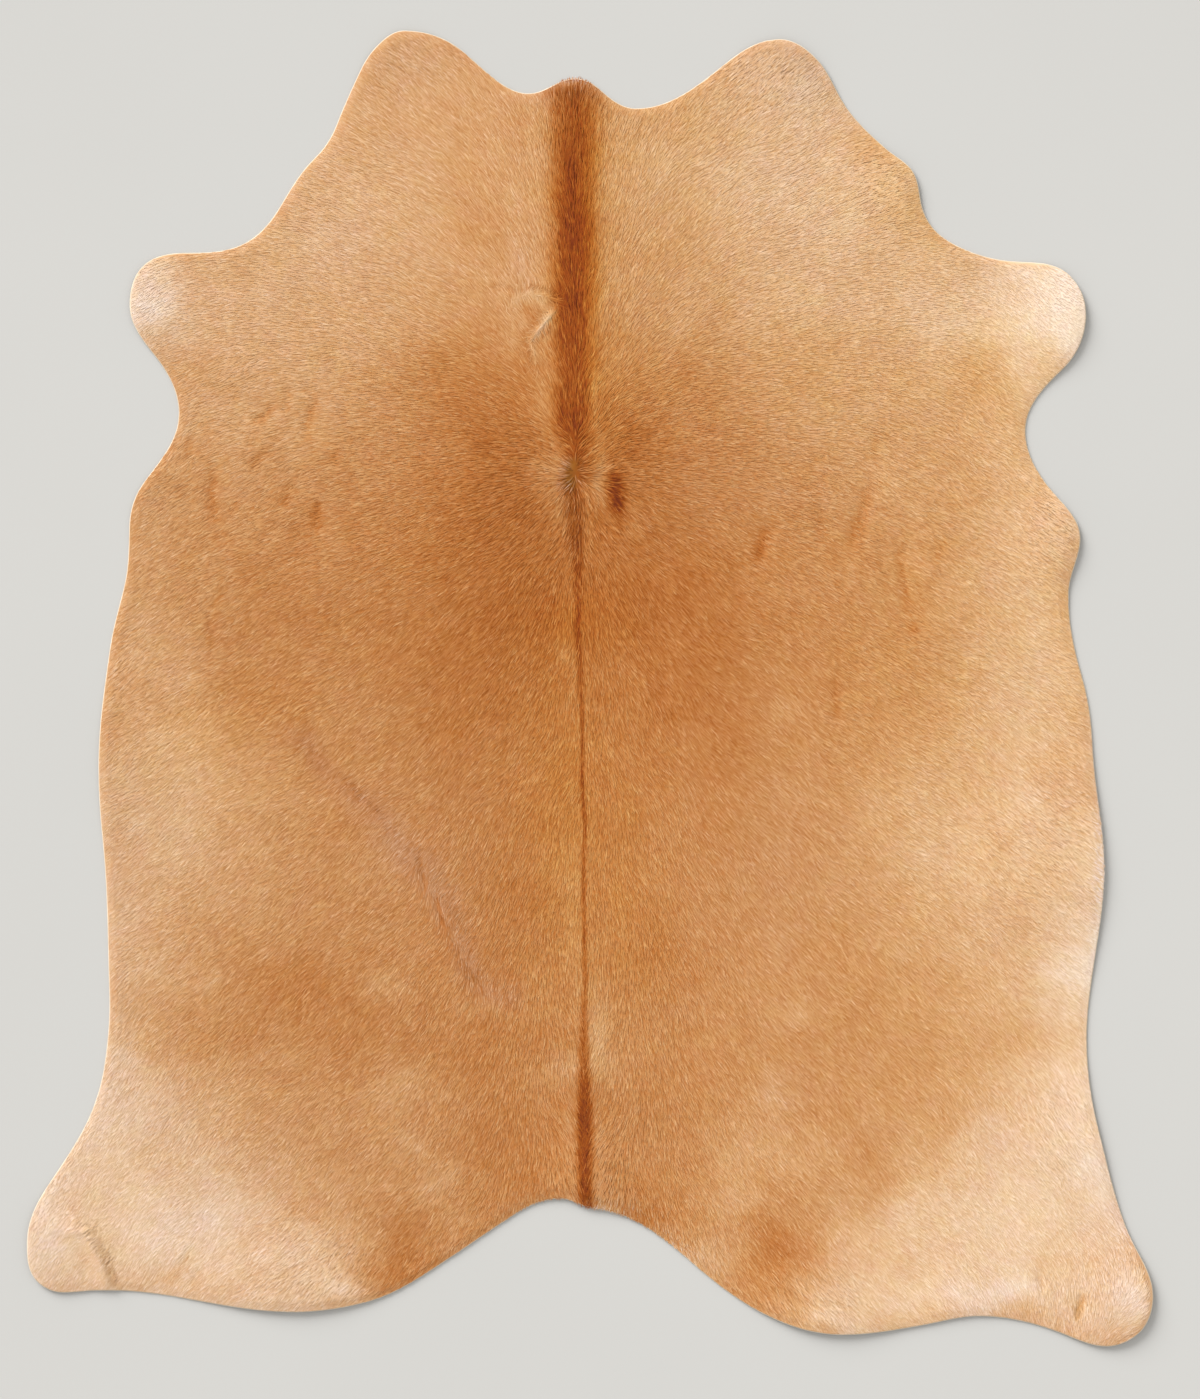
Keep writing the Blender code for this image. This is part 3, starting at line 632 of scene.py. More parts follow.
LAID_LINES = (
    LaidLine("swirl_rim", SWIRL_RIM, 6, 0.8),
    LaidLine("swirl_ridge", SWIRL_RIDGE, 5, 1.0),
    LaidLine("swirl_foot", ((-96, 560), (-90, 540), (-84, 516)), 6, 0.8),
    LaidLine("scar", ((-270, -290), (-250, -330), (-228, -369), (-200, -426), (-165, -485)), 13, 0.7),
)

# Where hair stands out past the cut edge, and by how much more than elsewhere.
FRINGE_PATCHES = (
    Patch("mane_tip", -24, 985, 45, 30, 9.0),
    Patch("tail_bay", -20, -830, 110, 30, 7.0),
    Patch("tail_bay_right", 110, -880, 60, 50, 3.0),
    Patch("flank_right", 830, -230, 40, 170, 4.0),
)

# Where the hair bleaches towards its tips, and by how much.
TIP_FADES = (
    Patch("mane_tip", -24, 992, 60, 26, 0.50),
    Patch("flank_right", 832, -260, 22, 190, 0.40),
    Patch("tail_bay", -10, -834, 110, 16, 0.30),
    Patch("tail_bay_right", 120, -890, 60, 30, 0.25, -30),
)

# Where the hair is longer or shorter than elsewhere.
LENGTH_PATCHES = (
    Patch("mane", -24, 700, 40, 330, 8.0),
    Patch("mane_tip", -24, 985, 45, 50, 6.0),
    Patch("whorl", -24, 345, 30, 40, -5.0),
    Patch("tail_root", -8, -780, 50, 120, 5.0),
    Patch("fore_shank_right", 780, 610, 170, 130, -5.0),
    Patch("fore_shank_left", -730, 610, 150, 130, -4.0),
    Patch("hind_shank_right", 760, -920, 300, 180, -3.5),
    Patch("hind_shank_left", -780, -860, 300, 190, -3.5),
)


def soft_step(share: Array) -> Array:
    """Zero to one without corners."""
    share = np.clip(share, 0.0, 1.0)
    return share * share * (3 - 2 * share)


def patch_sum(patches: tuple[Patch, ...], x: Array, y: Array) -> Array:
    """Add up the shifts of soft oval patches.

    Args:
        patches: the patches.
        x: where to read them, in millimetres.
        y: the same.

    Returns:
        The sum at each place.
    """
    total = np.zeros_like(x)
    for patch in patches:
        turn = math.radians(patch.turn_deg)
        dx, dy = x - patch.x, y - patch.y
        along = (dx * math.cos(turn) + dy * math.sin(turn)) / patch.reach_x
        across = (dy * math.cos(turn) - dx * math.sin(turn)) / patch.reach_y
        total += patch.shift * np.exp(-(along**2 + across**2))
    return total


def stripe_shift(x: Array, y: Array) -> Array:
    """Work out how much darker the line down the back is.

    Args:
        x: the places, in millimetres.
        y: the same.

    Returns:
        The shift in tone at each place.
    """
    rows = STRIPE[::-1]
    heights = [row.y for row in rows]
    middle = np.interp(y, heights, [row.x for row in rows])
    half_width = np.interp(y, heights, [row.half_width for row in rows])
    shift = np.interp(y, heights, [row.shift for row in rows])
    return shift * np.exp(-np.abs((x - middle) / half_width) ** STRIPE_FALL)


def along_path(path: Route, x: Array, y: Array) -> tuple[Array, Array, Array]:
    """Measure places against a path of straight runs.

    Args:
        path: its corners, in millimetres.
        x: the places, in millimetres.
        y: the same.

    Returns:
        Each place's distance from the path, its share of the way along, and the number of its nearest run.
    """
    corners = np.array(path, float)
    runs = np.diff(corners, axis=0)
    lengths = np.linalg.norm(runs, axis=1)
    travelled = np.concatenate([[0.0], np.cumsum(lengths)])
    nearest, share, number = np.full(x.shape, np.inf), np.zeros_like(x), np.zeros(x.shape, int)
    for index, (start, run, length) in enumerate(zip(corners, runs, lengths)):
        step = np.clip(((x - start[0]) * run[0] + (y - start[1]) * run[1]) / length**2, 0, 1)
        gap = np.hypot(x - start[0] - step * run[0], y - start[1] - step * run[1])
        closer = gap < nearest
        nearest = np.where(closer, gap, nearest)
        share = np.where(closer, (travelled[index] + step * length) / travelled[-1], share)
        number = np.where(closer, index, number)
    return nearest, share, number


def near_path(path: Route, reach: float, x: Array, y: Array) -> Array:
    """Tell which places are inside a box round a path.

    Args:
        path: its corners, in millimetres.
        reach: how far the box goes out past them.
        x: the places, in millimetres.
        y: the same.

    Returns:
        True where a place is inside.
    """
    xs, ys = zip(*path)
    beside = (x > min(xs) - reach) & (x < max(xs) + reach)
    return beside & (y > min(ys) - reach) & (y < max(ys) + reach)


def line_strength(line: SkinLine, x: Array, y: Array) -> Array:
    """How strongly a skin line shows at each place: 1 along its middle, dying out at its sides and ends.

    Args:
        line: the line.
        x: where to read it, in millimetres.
        y: the same.

    Returns:
        The strength, from 0 to 1.
    """
    near = near_path(line.path, LINE_REACH * line.half_width, x, y)
    strength = np.zeros_like(x)
    gap, share, _ = along_path(line.path, x[near], y[near])
    fade = soft_step(np.minimum(share, 1 - share) / LINE_END_FADE)
    strength[near] = fade * np.exp(-((gap / line.half_width) ** 2))
    return strength


def line_run(line: LaidLine, x: Array, y: Array) -> tuple[Array, Array, Array]:
    """How strongly a line turns the hair at each place, and which way.

    Args:
        line: the line.
        x: where to read it, in millimetres.
        y: the same.

    Returns:
        The strength, from 0 to 1, and the line's direction there.
    """
    near = near_path(line.path, LINE_REACH * line.half_width, x, y)
    strength, run_x, run_y = np.zeros_like(x), np.zeros_like(x), np.zeros_like(x)
    gap, _, number = along_path(line.path, x[near], y[near])
    runs = np.diff(np.array(line.path, float), axis=0)
    runs /= np.linalg.norm(runs, axis=1)[:, None]
    strength[near] = line.strength * np.exp(-((gap / line.half_width) ** 2))
    run_x[near], run_y[near] = runs[number].T
    return strength, run_x, run_y


class Field:
    """Values on a square grid over the floor, read smoothly between its points."""

    # A place past the grid's last line is read just inside it.
    LAST = 1.001

    def __init__(self, x0: float, y0: float, pitch: float, values: Array) -> None:
        """Keep the grid.

        Args:
            x0: the first column's place, in millimetres.
            y0: the first row's place.
            pitch: the grid's step.
            values: one row of values for each Y.
        """
        self.x0, self.y0, self.pitch, self.values = x0, y0, pitch, values

    def at(self, x: Array, y: Array) -> Array:
        """Read the grid between its points.

        Args:
            x: the places, in millimetres.
            y: the same.

        Returns:
            The value at each place, from its four neighbours.
        """
        rows, columns = self.values.shape
        u = np.clip((x - self.x0) / self.pitch, 0, columns - self.LAST)
        v = np.clip((y - self.y0) / self.pitch, 0, rows - self.LAST)
        column, row = u.astype(int), v.astype(int)
        u, v = u - column, v - row
        low = self.values[row, column] * (1 - u) + self.values[row, column + 1] * u
        high = self.values[row + 1, column] * (1 - u) + self.values[row + 1, column + 1] * u
        return low * (1 - v) + high * v


class SmoothNoise:
    """Seeded soft noise over the floor, from about -1 to 1."""

    SIDE = 512
    GAIN = 1.4

    def __init__(self, cell: float, seed: int) -> None:
        """Make the lattice.

        Args:
            cell: the size of a blotch, in millimetres.
            seed: which noise.
        """
        self.cell = cell
        self.lattice = np.random.default_rng(seed).uniform(-1, 1, (self.SIDE, self.SIDE))

    def at(self, x: Array, y: Array) -> Array:
        """Read the noise.

        Args:
            x: the places, in millimetres.
            y: the same.

        Returns:
            The noise at each place.
        """
        u, v = x / self.cell + self.SIDE / 3, y / self.cell + self.SIDE / 3
        column, row = np.floor(u).astype(int), np.floor(v).astype(int)
        u, v = soft_step(u - column), soft_step(v - row)
        left, right = column % self.SIDE, (column + 1) % self.SIDE
        low, high = row % self.SIDE, (row + 1) % self.SIDE
        near = self.lattice[low, left] * (1 - u) + self.lattice[low, right] * u
        far = self.lattice[high, left] * (1 - u) + self.lattice[high, right] * u
        return self.GAIN * (near * (1 - v) + far * v)


def blurred(values: Array, weights: Array, reach: float) -> Array:
    """Smooth a grid by a Gaussian, counting only what has weight, so that gaps fill from their surroundings.

    Args:
        values: the grid.
        weights: 1 where a value counts, 0 where it doesn't.
        reach: the Gaussian's deviation, in grid steps.

    Returns:
        The smoothed grid, with no gaps.
    """
    radius = int(3 * reach) + 1
    least, enough = 1e-12, 1e-3
    kernel = np.exp(-0.5 * (np.arange(-radius, radius + 1) / reach) ** 2)
    kernel /= kernel.sum()

    def smooth(grid: Array) -> Array:
        """Blur along both axes.

        Args:
            grid: the values.

        Returns:
            The blurred values.
        """
        for axis in (0, 1):
            grid = np.apply_along_axis(np.convolve, axis, grid, kernel, "same")
        return grid

    total = smooth(weights.astype(float))
    found = smooth(np.where(weights, values, 0.0)) / np.maximum(total, least)
    known = total > enough
    while not known.all():
        total = smooth(known.astype(float))
        spread = smooth(np.where(known, found, 0.0)) / np.maximum(total, least)
        found = np.where(known, found, spread)
        known |= total > enough
    return found


class HideForm:
    """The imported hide's cut edge and its soft heights, from which every piece takes its place."""

    GRID_PITCH = 8.0
    GRID_MARGIN = 56.0
    BLUR_REACH = 12.0
    RIM_CLEAR = 14.0
    INSET_PITCH = 4.0
    OUTLINE_STEP = 1.0
    CURVE_STEPS = 24
    FOOT_SLOPE = -0.7
    WALL_SLOPE = 0.3
    INSIDE = 1.0

    def __init__(self, node: bpy.types.Object) -> None:
        """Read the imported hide.

        Args:
            node: the CAD hide, which is left as it is.
        """
        shape = bmesh.new()
        shape.from_mesh(node.data)
        bmesh.ops.remove_doubles(shape, verts=shape.verts, dist=WELD * MM)
        shape.normal_update()
        self.outline = self._resampled(self._cut_edge(shape), self.OUTLINE_STEP)
        self.low = self.outline.min(axis=0) - self.GRID_MARGIN
        self.high = self.outline.max(axis=0) + self.GRID_MARGIN
        self.inset = self._inset_field()
        self._read_heights(BVHTree.FromBMesh(shape))
        shape.free()

    @classmethod
    def _cut_edge(cls, shape: bmesh.types.BMesh) -> Array:
        """Follow the foot of the side wall all round.

        Args:
            shape: the solid, with its doubles merged.

        Returns:
            Its corners in order, in millimetres.
        """
        after: dict[Any, list[Any]] = {}
        for edge in shape.edges:
            if len(edge.link_faces) != 2:
                continue
            slopes = sorted(face.normal.z for face in edge.link_faces)
            if slopes[0] < cls.FOOT_SLOPE and abs(slopes[1]) < cls.WALL_SLOPE:
                one, other = edge.verts
                after.setdefault(one, []).append(other)
                after.setdefault(other, []).append(one)
        start = min(after, key=lambda corner: (corner.co.y, corner.co.x))
        chain, here, before = [start], after[start][0], start
        while here is not start:
            chain.append(here)
            one, other = after[here][:2]
            here, before = (other if one is before else one), here
        return np.array([(corner.co.x, corner.co.y) for corner in chain]) / MM

    @classmethod
    def _resampled(cls, corners: Array, step: float) -> Array:
        """Draw a smooth closed curve through the corners.

        Args:
            corners: the corners in order, either way round.
            step: the distance between the curve's points.

        Returns:
            The curve's points, anticlockwise.
        """
        ahead = np.roll(corners, -1, axis=0)
        if np.sum(corners[:, 0] * ahead[:, 1] - ahead[:, 0] * corners[:, 1]) < 0:
            corners = corners[::-1]
        before, ahead = np.roll(corners, 1, axis=0), np.roll(corners, -1, axis=0)
        beyond = np.roll(corners, -2, axis=0)
        finer = []
        for share in np.arange(0, 1, 1 / cls.CURVE_STEPS):
            bend = 2 * before - 5 * corners + 4 * ahead - beyond
            sway = 3 * corners - before - 3 * ahead + beyond
            finer.append(corners + 0.5 * share * (ahead - before + share * (bend + share * sway)))
        curve = np.stack(finer, axis=1).reshape(-1, 2)
        closed = np.vstack([curve, curve[:1]])
        travelled = np.concatenate([[0], np.cumsum(np.linalg.norm(np.diff(closed, axis=0), axis=1))])
        marks = np.linspace(0, travelled[-1], int(travelled[-1] / step), endpoint=False)
        return np.stack([np.interp(marks, travelled, closed[:, k]) for k in (0, 1)], axis=1)

    def grid(self, pitch: float) -> tuple[Array, Array]:
        """The columns and rows of a grid that covers the hide and its margin."""
        columns, rows = (np.arange(self.low[axis], self.high[axis], pitch) for axis in (0, 1))
        return columns, rows

    def _is_inside(self, columns: Array, rows: Array) -> Array:
        """Tell which points of a grid the cut edge goes round.

        Args:
            columns: where the grid's columns are.
            rows: where its rows are.

        Returns:
            True where a point is inside.
        """
        ahead = np.roll(self.outline, -1, axis=0)
        inside = np.zeros((len(rows), len(columns)), bool)
        for index, y in enumerate(rows):
            crossing = (self.outline[:, 1] > y) != (ahead[:, 1] > y)
            one, other = self.outline[crossing], ahead[crossing]
            at = one[:, 0] + (y - one[:, 1]) / (other[:, 1] - one[:, 1]) * (other[:, 0] - one[:, 0])
            inside[index] = (at[:, None] < columns).sum(axis=0) % 2 == 1
        return inside

    def _inset_field(self) -> Field:
        """Measure how far inside the cut edge each place is.

        Returns:
            The distance, below zero outside the edge.
        """
        tree = KDTree(len(self.outline))
        for index, (x, y) in enumerate(self.outline):
            tree.insert((x, y, 0), index)
        tree.balance()
        columns, rows = self.grid(self.INSET_PITCH)
        gaps = np.array([[tree.find((x, y, 0))[2] for x in columns] for y in rows])
        sign = np.where(self._is_inside(columns, rows), 1.0, -1.0)
        return Field(columns[0], rows[0], self.INSET_PITCH, gaps * sign)

    def _read_heights(self, tree: BVHTree) -> None:
        """Read the solid's underside and thickness by rays, and smooth its flat faces away.

        Args:
            tree: the solid's faces.
        """
        columns, rows = self.grid(self.GRID_PITCH)
        x, y = np.meshgrid(columns, rows)
        inset = self.inset.at(x, y)
        under, over = np.zeros_like(x), np.zeros_like(x)
        for row, column in zip(*np.nonzero(inset > self.INSIDE)):
            place = x[row, column] * MM, y[row, column] * MM
            down = tree.ray_cast(Vector((*place, 1.0)), Vector((0, 0, -1)))[0]
            up = tree.ray_cast(Vector((*place, -1.0)), Vector((0, 0, 1)))[0]
            over[row, column], under[row, column] = down.z / MM, up.z / MM
        reach = self.BLUR_REACH / self.GRID_PITCH
        origin = columns[0], rows[0], self.GRID_PITCH
        self.underside = Field(*origin, blurred(under, inset > self.INSIDE, reach))
        self.thickness = Field(*origin, blurred(over - under, inset > self.RIM_CLEAR, reach))


@dataclass
class SkinShape:
    """The height of the leather, of the dense undercoat on it and of the coat, at any place."""

    form: HideForm
    leather: float = 2.4
    thinnest_leather: float = 1.0
    undercoat: float = 1.6
    guard_hair: float = 0.8
    fold_thinning: float = 0.35
    edge_cover: float = 1.0
    slope_width: float = 13.0
    edge_droop: float = 0.5
    thinnest_coat: float = 1.4
    slope_pitch: float = 2.0
    swell: float = 0.20
    swell_size: float = 70.0
    ripple: float = 0.07
    ripple_size: float = 26.0
    lifting_rise: float = 0.3
    parting_rise: float = 0.5

    def relief(self, x: Array, y: Array) -> Array:
        """Add up the rise of wrinkles, folds and scars, and the leather's own unevenness.

        Args:
            x: the places, in millimetres.
            y: the same.

        Returns:
            The rise at each place.
        """
        rise = self.swell * SmoothNoise(self.swell_size, SEED + 1).at(x, y)
        rise += self.ripple * SmoothNoise(self.ripple_size, SEED + 2).at(x, y)
        for line in SKIN_LINES:
            rise += line.rise * line_strength(line, x, y)
        return rise

    def underside(self, x: Array, y: Array) -> Array:
        """The leather's lower face, which rests on the floor and rises under a fold."""
        lift = np.maximum(self.relief(x, y) - self.lifting_rise, 0)
        return np.maximum(self.form.underside.at(x, y) + lift, 0)

    def leather_top(self, x: Array, y: Array) -> Array:
        """The leather's upper face, from which the hair grows."""
        thickness = np.maximum(self.leather + self.relief(x, y), self.thinnest_leather)
        return self.form.underside.at(x, y) + thickness

    def _coat_depth(self, x: Array, y: Array) -> Array:
        """How thick the whole coat is, away from the cut edge."""
        return np.maximum(self.form.thickness.at(x, y) - self.leather, self.thinnest_coat)

    def undercoat_top(self, x: Array, y: Array) -> Array:
        """Work out the undercoat's surface, which the longer hair comes from and which ends at the cut edge.

        Args:
            x: the places, in millimetres.
            y: the same.

        Returns:
            Its height at each place.
        """
        share = soft_step(self.form.inset.at(x, y) / self.slope_width)
        thinned = self.fold_thinning * np.maximum(self.relief(x, y) - self.parting_rise, 0)
        depth = np.minimum(self.undercoat, self._coat_depth(x, y) - self.guard_hair) - thinned
        return self.leather_top(x, y) + np.maximum(depth, 0) * share

    def coat_top(self, x: Array, y: Array) -> Array:
        """Work out the lying coat's surface, which droops to the cut edge.

        Args:
            x: the places, in millimetres.
            y: the same.

        Returns:
            Its height at each place.
        """
        share = soft_step(self.form.inset.at(x, y) / self.slope_width)
        cover = self.edge_cover + (self._coat_depth(x, y) - self.edge_cover) * share
        droop = np.minimum(self.form.inset.at(x, y), 0) * self.edge_droop
        return self.leather_top(x, y) + cover + droop

    def coat_slopes(self) -> tuple[Field, Field]:
        """Measure how steeply the coat climbs.

        Returns:
            Its climb along X and along Y.
        """
        columns, rows = self.form.grid(self.slope_pitch)
        climb_y, climb_x = np.gradient(self.coat_top(*np.meshgrid(columns, rows)), self.slope_pitch)
        origin = columns[0], rows[0], self.slope_pitch
        return Field(*origin, climb_x), Field(*origin, climb_y)


class Combing:
    """The way the hair lies all over the hide."""

    PITCH = 8.0
    REACH = 18.0
    FALL = 1.6
    WAVE_SIZE = 62
    WAVE_TURN = 0.08
    CURL_SIZE = 21
    CURL_TURN = 0.05
    PARTING = ((-800, -7.0), (0, -13.0), (300, -20.0), (900, -24.0))

    def __init__(self, form: HideForm) -> None:
        """Spread the marks over a grid.

        Args:
            form: the hide, for its extent.
        """
        columns, rows = form.grid(self.PITCH)
        x, y = np.meshgrid(columns, rows)
        side = np.where(x < self.spine(y), -1.0, 1.0)
        offset = np.abs(x - self.spine(y))
        out, up = np.zeros_like(x), np.zeros_like(x)
        for mark in COMB_MARKS:
            weight = (np.hypot(offset - mark.offset, y - mark.y) ** 2 + self.REACH**2) ** -self.FALL
            if mark.side is not Side.BOTH:
                weight = np.where((side > 0) == (mark.side is Side.RIGHT), weight, 0)
            lean = math.radians(mark.lean_deg)
            out += weight * math.cos(lean)
            up += weight * math.sin(lean)
        turn = np.arctan2(up, out)
        origin = columns[0], rows[0], self.PITCH
        self.across = Field(*origin, side * np.cos(turn))
        self.upward = Field(*origin, np.sin(turn))
        self.wave = SmoothNoise(self.WAVE_SIZE, SEED + 9)
        self.curl = SmoothNoise(self.CURL_SIZE, SEED + 10)

    @staticmethod
    def spine(y: Array) -> Array:
        """Where the parting down the back runs."""
        heights, middles = zip(*Combing.PARTING)
        return np.interp(y, heights, middles)

    def heading(self, x: Array, y: Array) -> Array:
        """Work out which way the hair lies, from root to tip.

        Args:
            x: the places, in millimetres.
            y: the same.

        Returns:
            The direction at each place, in radians from +X.
        """
        across, upward = self.across.at(x, y), self.upward.at(x, y)
        for line in LAID_LINES:
            share, run_x, run_y = line_run(line, x, y)
            across = across + share * (run_x - across)
            upward = upward + share * (run_y - upward)
        turn = np.arctan2(upward, across) + self.WAVE_TURN * self.wave.at(x, y)
        return turn + self.CURL_TURN * self.curl.at(x, y)


class CoatPattern:
    """The coat's colours over the hide, placed one by one."""

    PITCH = 4.0
    SWAY = 14
    SWAY_SIZE = 60
    FRILL = 4
    FRILL_SIZE = 14
    BLOTCH_SIZE = 48
    BLOTCH_TONE = 0.016
    BLOTCH_WARMTH = 0.08
    MOTTLE_SIZE = 17
    MOTTLE_TONE = 0.010
    STRIPE_RUFFLE = 0.12
    LINE_RUFFLE = 0.2
    AMBER_RUFFLE = 0.6
    LINE_AMBER_RUFFLE = 0.4
    STRAND_SIZE = 4.5
    STREAK_STEPS = 4
    STREAK_STEP = 4.5
    STREAK_GAIN = 1.1
    STREAK_TONE = 0.007
    MANE_STREAK_TONE = 0.03
    MANE_HALF_WIDTH = 60
    MANE_FOOT = 150
    MANE_FADE = 250

    def __init__(self, form: HideForm, combing: Combing) -> None:
        """Lay the soft patches out over a grid and make the noises that ruffle their borders.

        Args:
            form: the hide, for its extent.
            combing: the way the hair lies, which the streaks follow.
        """
        columns, rows = form.grid(self.PITCH)
        x, y = np.meshgrid(columns, rows)
        origin = columns[0], rows[0], self.PITCH
        self.ground = Field(*origin, BASE_TONE + patch_sum(TONE_PATCHES, x, y))
        self.amber = Field(*origin, patch_sum(WARM_PATCHES, x, y))
        self.combing = combing
        self.sway = [SmoothNoise(self.SWAY_SIZE, SEED + step) for step in (3, 4)]
        self.frill = [SmoothNoise(self.FRILL_SIZE, SEED + step) for step in (5, 6)]
        self.blotch = SmoothNoise(self.BLOTCH_SIZE, SEED + 7)
        self.mottle = SmoothNoise(self.MOTTLE_SIZE, SEED + 8)
        self.strand = SmoothNoise(self.STRAND_SIZE, SEED + 11)

    def _ruffled(self, x: Array, y: Array, much: float) -> tuple[Array, Array]:
        """Move the places a little, so that soft ovals get uneven borders.

        Args:
            x: the places, in millimetres.
            y: the same.
            much: the share of the whole move.

        Returns:
            The moved places.
        """
        return (
            x + much * (self.SWAY * self.sway[0].at(x, y) + self.FRILL * self.frill[0].at(x, y)),
            y + much * (self.SWAY * self.sway[1].at(x, y) + self.FRILL * self.frill[1].at(x, y)),
        )

    def tone(self, x: Array, y: Array) -> Array:
        """Work out how dark the coat is.

        Args:
            x: the places, in millimetres.
            y: the same.

        Returns:
            The tone at each place.
        """
        ground = self.ground.at(*self._ruffled(x, y, 1.0))
        tone = ground + stripe_shift(*self._ruffled(x, y, self.STRIPE_RUFFLE))
        # The skin lines add painted shade in wrinkles, creases and folds, a little painted light on ridges,
        # and the scars' and whorl's own colour.
        moved = self._ruffled(x, y, self.LINE_RUFFLE)
        for line in SKIN_LINES:
            tone += line.tone * line_strength(line, *moved)
        tone += self.BLOTCH_TONE * self.blotch.at(x, y) + self.MOTTLE_TONE * self.mottle.at(x, y)
        in_mane = np.exp(-(((x - Combing.spine(y)) / self.MANE_HALF_WIDTH) ** 2))
        in_mane = in_mane * soft_step((y - self.MANE_FOOT) / self.MANE_FADE)
        return tone + (self.STREAK_TONE + self.MANE_STREAK_TONE * in_mane) * self.streaks(x, y)

    def streaks(self, x: Array, y: Array) -> Array:
        """Draw out strands of lighter and darker hair along the way that it lies.

        Args:
            x: the places, in millimetres.
            y: the same.

        Returns:
            The strands' shift at each place, with a deviation of about 1.
        """
        total = self.strand.at(x, y)
        for way in (-1, 1):
            u, v = x, y
            for _ in range(self.STREAK_STEPS):
                turn = self.combing.heading(u, v)
                u = u + way * self.STREAK_STEP * np.cos(turn)
                v = v + way * self.STREAK_STEP * np.sin(turn)
                total = total + self.strand.at(u, v)
        return self.STREAK_GAIN * total / math.sqrt(1 + self.STREAK_STEPS)

    def warmth(self, x: Array, y: Array) -> Array:
        """Work out how amber the coat is.

        Args:
            x: the places, in millimetres.
            y: the same.

        Returns:
            The warmth at each place.
        """
        warmth = self.amber.at(*self._ruffled(x, y, self.AMBER_RUFFLE))
        moved = self._ruffled(x, y, self.LINE_AMBER_RUFFLE)
        for line in SKIN_LINES:
            warmth += line.warmth * line_strength(line, *moved)
        return warmth + self.BLOTCH_WARMTH * self.blotch.at(y, x)


def mesh_of(name: str, points: Array, triangles: Array) -> bpy.types.Mesh:
    """A smooth-shaded mesh from arrays.

    Args:
        name: the mesh's name.
        points: a row for each corner, in millimetres.
        triangles: three corner numbers in each row.

    Returns:
        The mesh.
    """
    mesh = bpy.data.meshes.new(name)
    mesh.vertices.add(len(points))
    mesh.vertices.foreach_set("co", (points * MM).astype(np.float32).ravel())
    mesh.loops.add(triangles.size)
    mesh.loops.foreach_set("vertex_index", triangles.astype(np.int32).ravel())
    mesh.polygons.add(len(triangles))
    mesh.polygons.foreach_set("loop_start", np.arange(0, triangles.size, 3, dtype=np.int32))
    mesh.update(calc_edges=True)
    mesh.validate()
    mesh.shade_smooth()
    return mesh


def add_mark(mesh: bpy.types.Mesh, mark: Mark, values: Array) -> None:
    """Store one value for each corner, for the material to read."""
    layer = mesh.attributes.new(mark.value, "FLOAT", "POINT")
    layer.data.foreach_set("value", values.astype(np.float32).ravel())


def add_map(mesh: bpy.types.Mesh, places: Array) -> None:
    """Lay the mesh out for baking, with a place for each corner of each triangle."""
    layer = mesh.uv_layers.new(name=BAKE_MAP)
    layer.data.foreach_set("uv", places.astype(np.float32).ravel())


def add_piece(mesh: bpy.types.Mesh, materials: list[bpy.types.Material]) -> bpy.types.Object:
    """Put a finished mesh in the scene as a piece that rides on the part.

    Args:
        mesh: the mesh, in place.
        materials: its materials, in slot order.

    Returns:
        The piece.
    """
    for material in materials:
        mesh.materials.append(material)
    piece = bpy.data.objects.new(mesh.name, mesh)
    bpy.context.scene.collection.objects.link(piece)
    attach(piece, "root")
    LOG.info("%s: %d triangles", piece.name, len(mesh.polygons))
    return piece


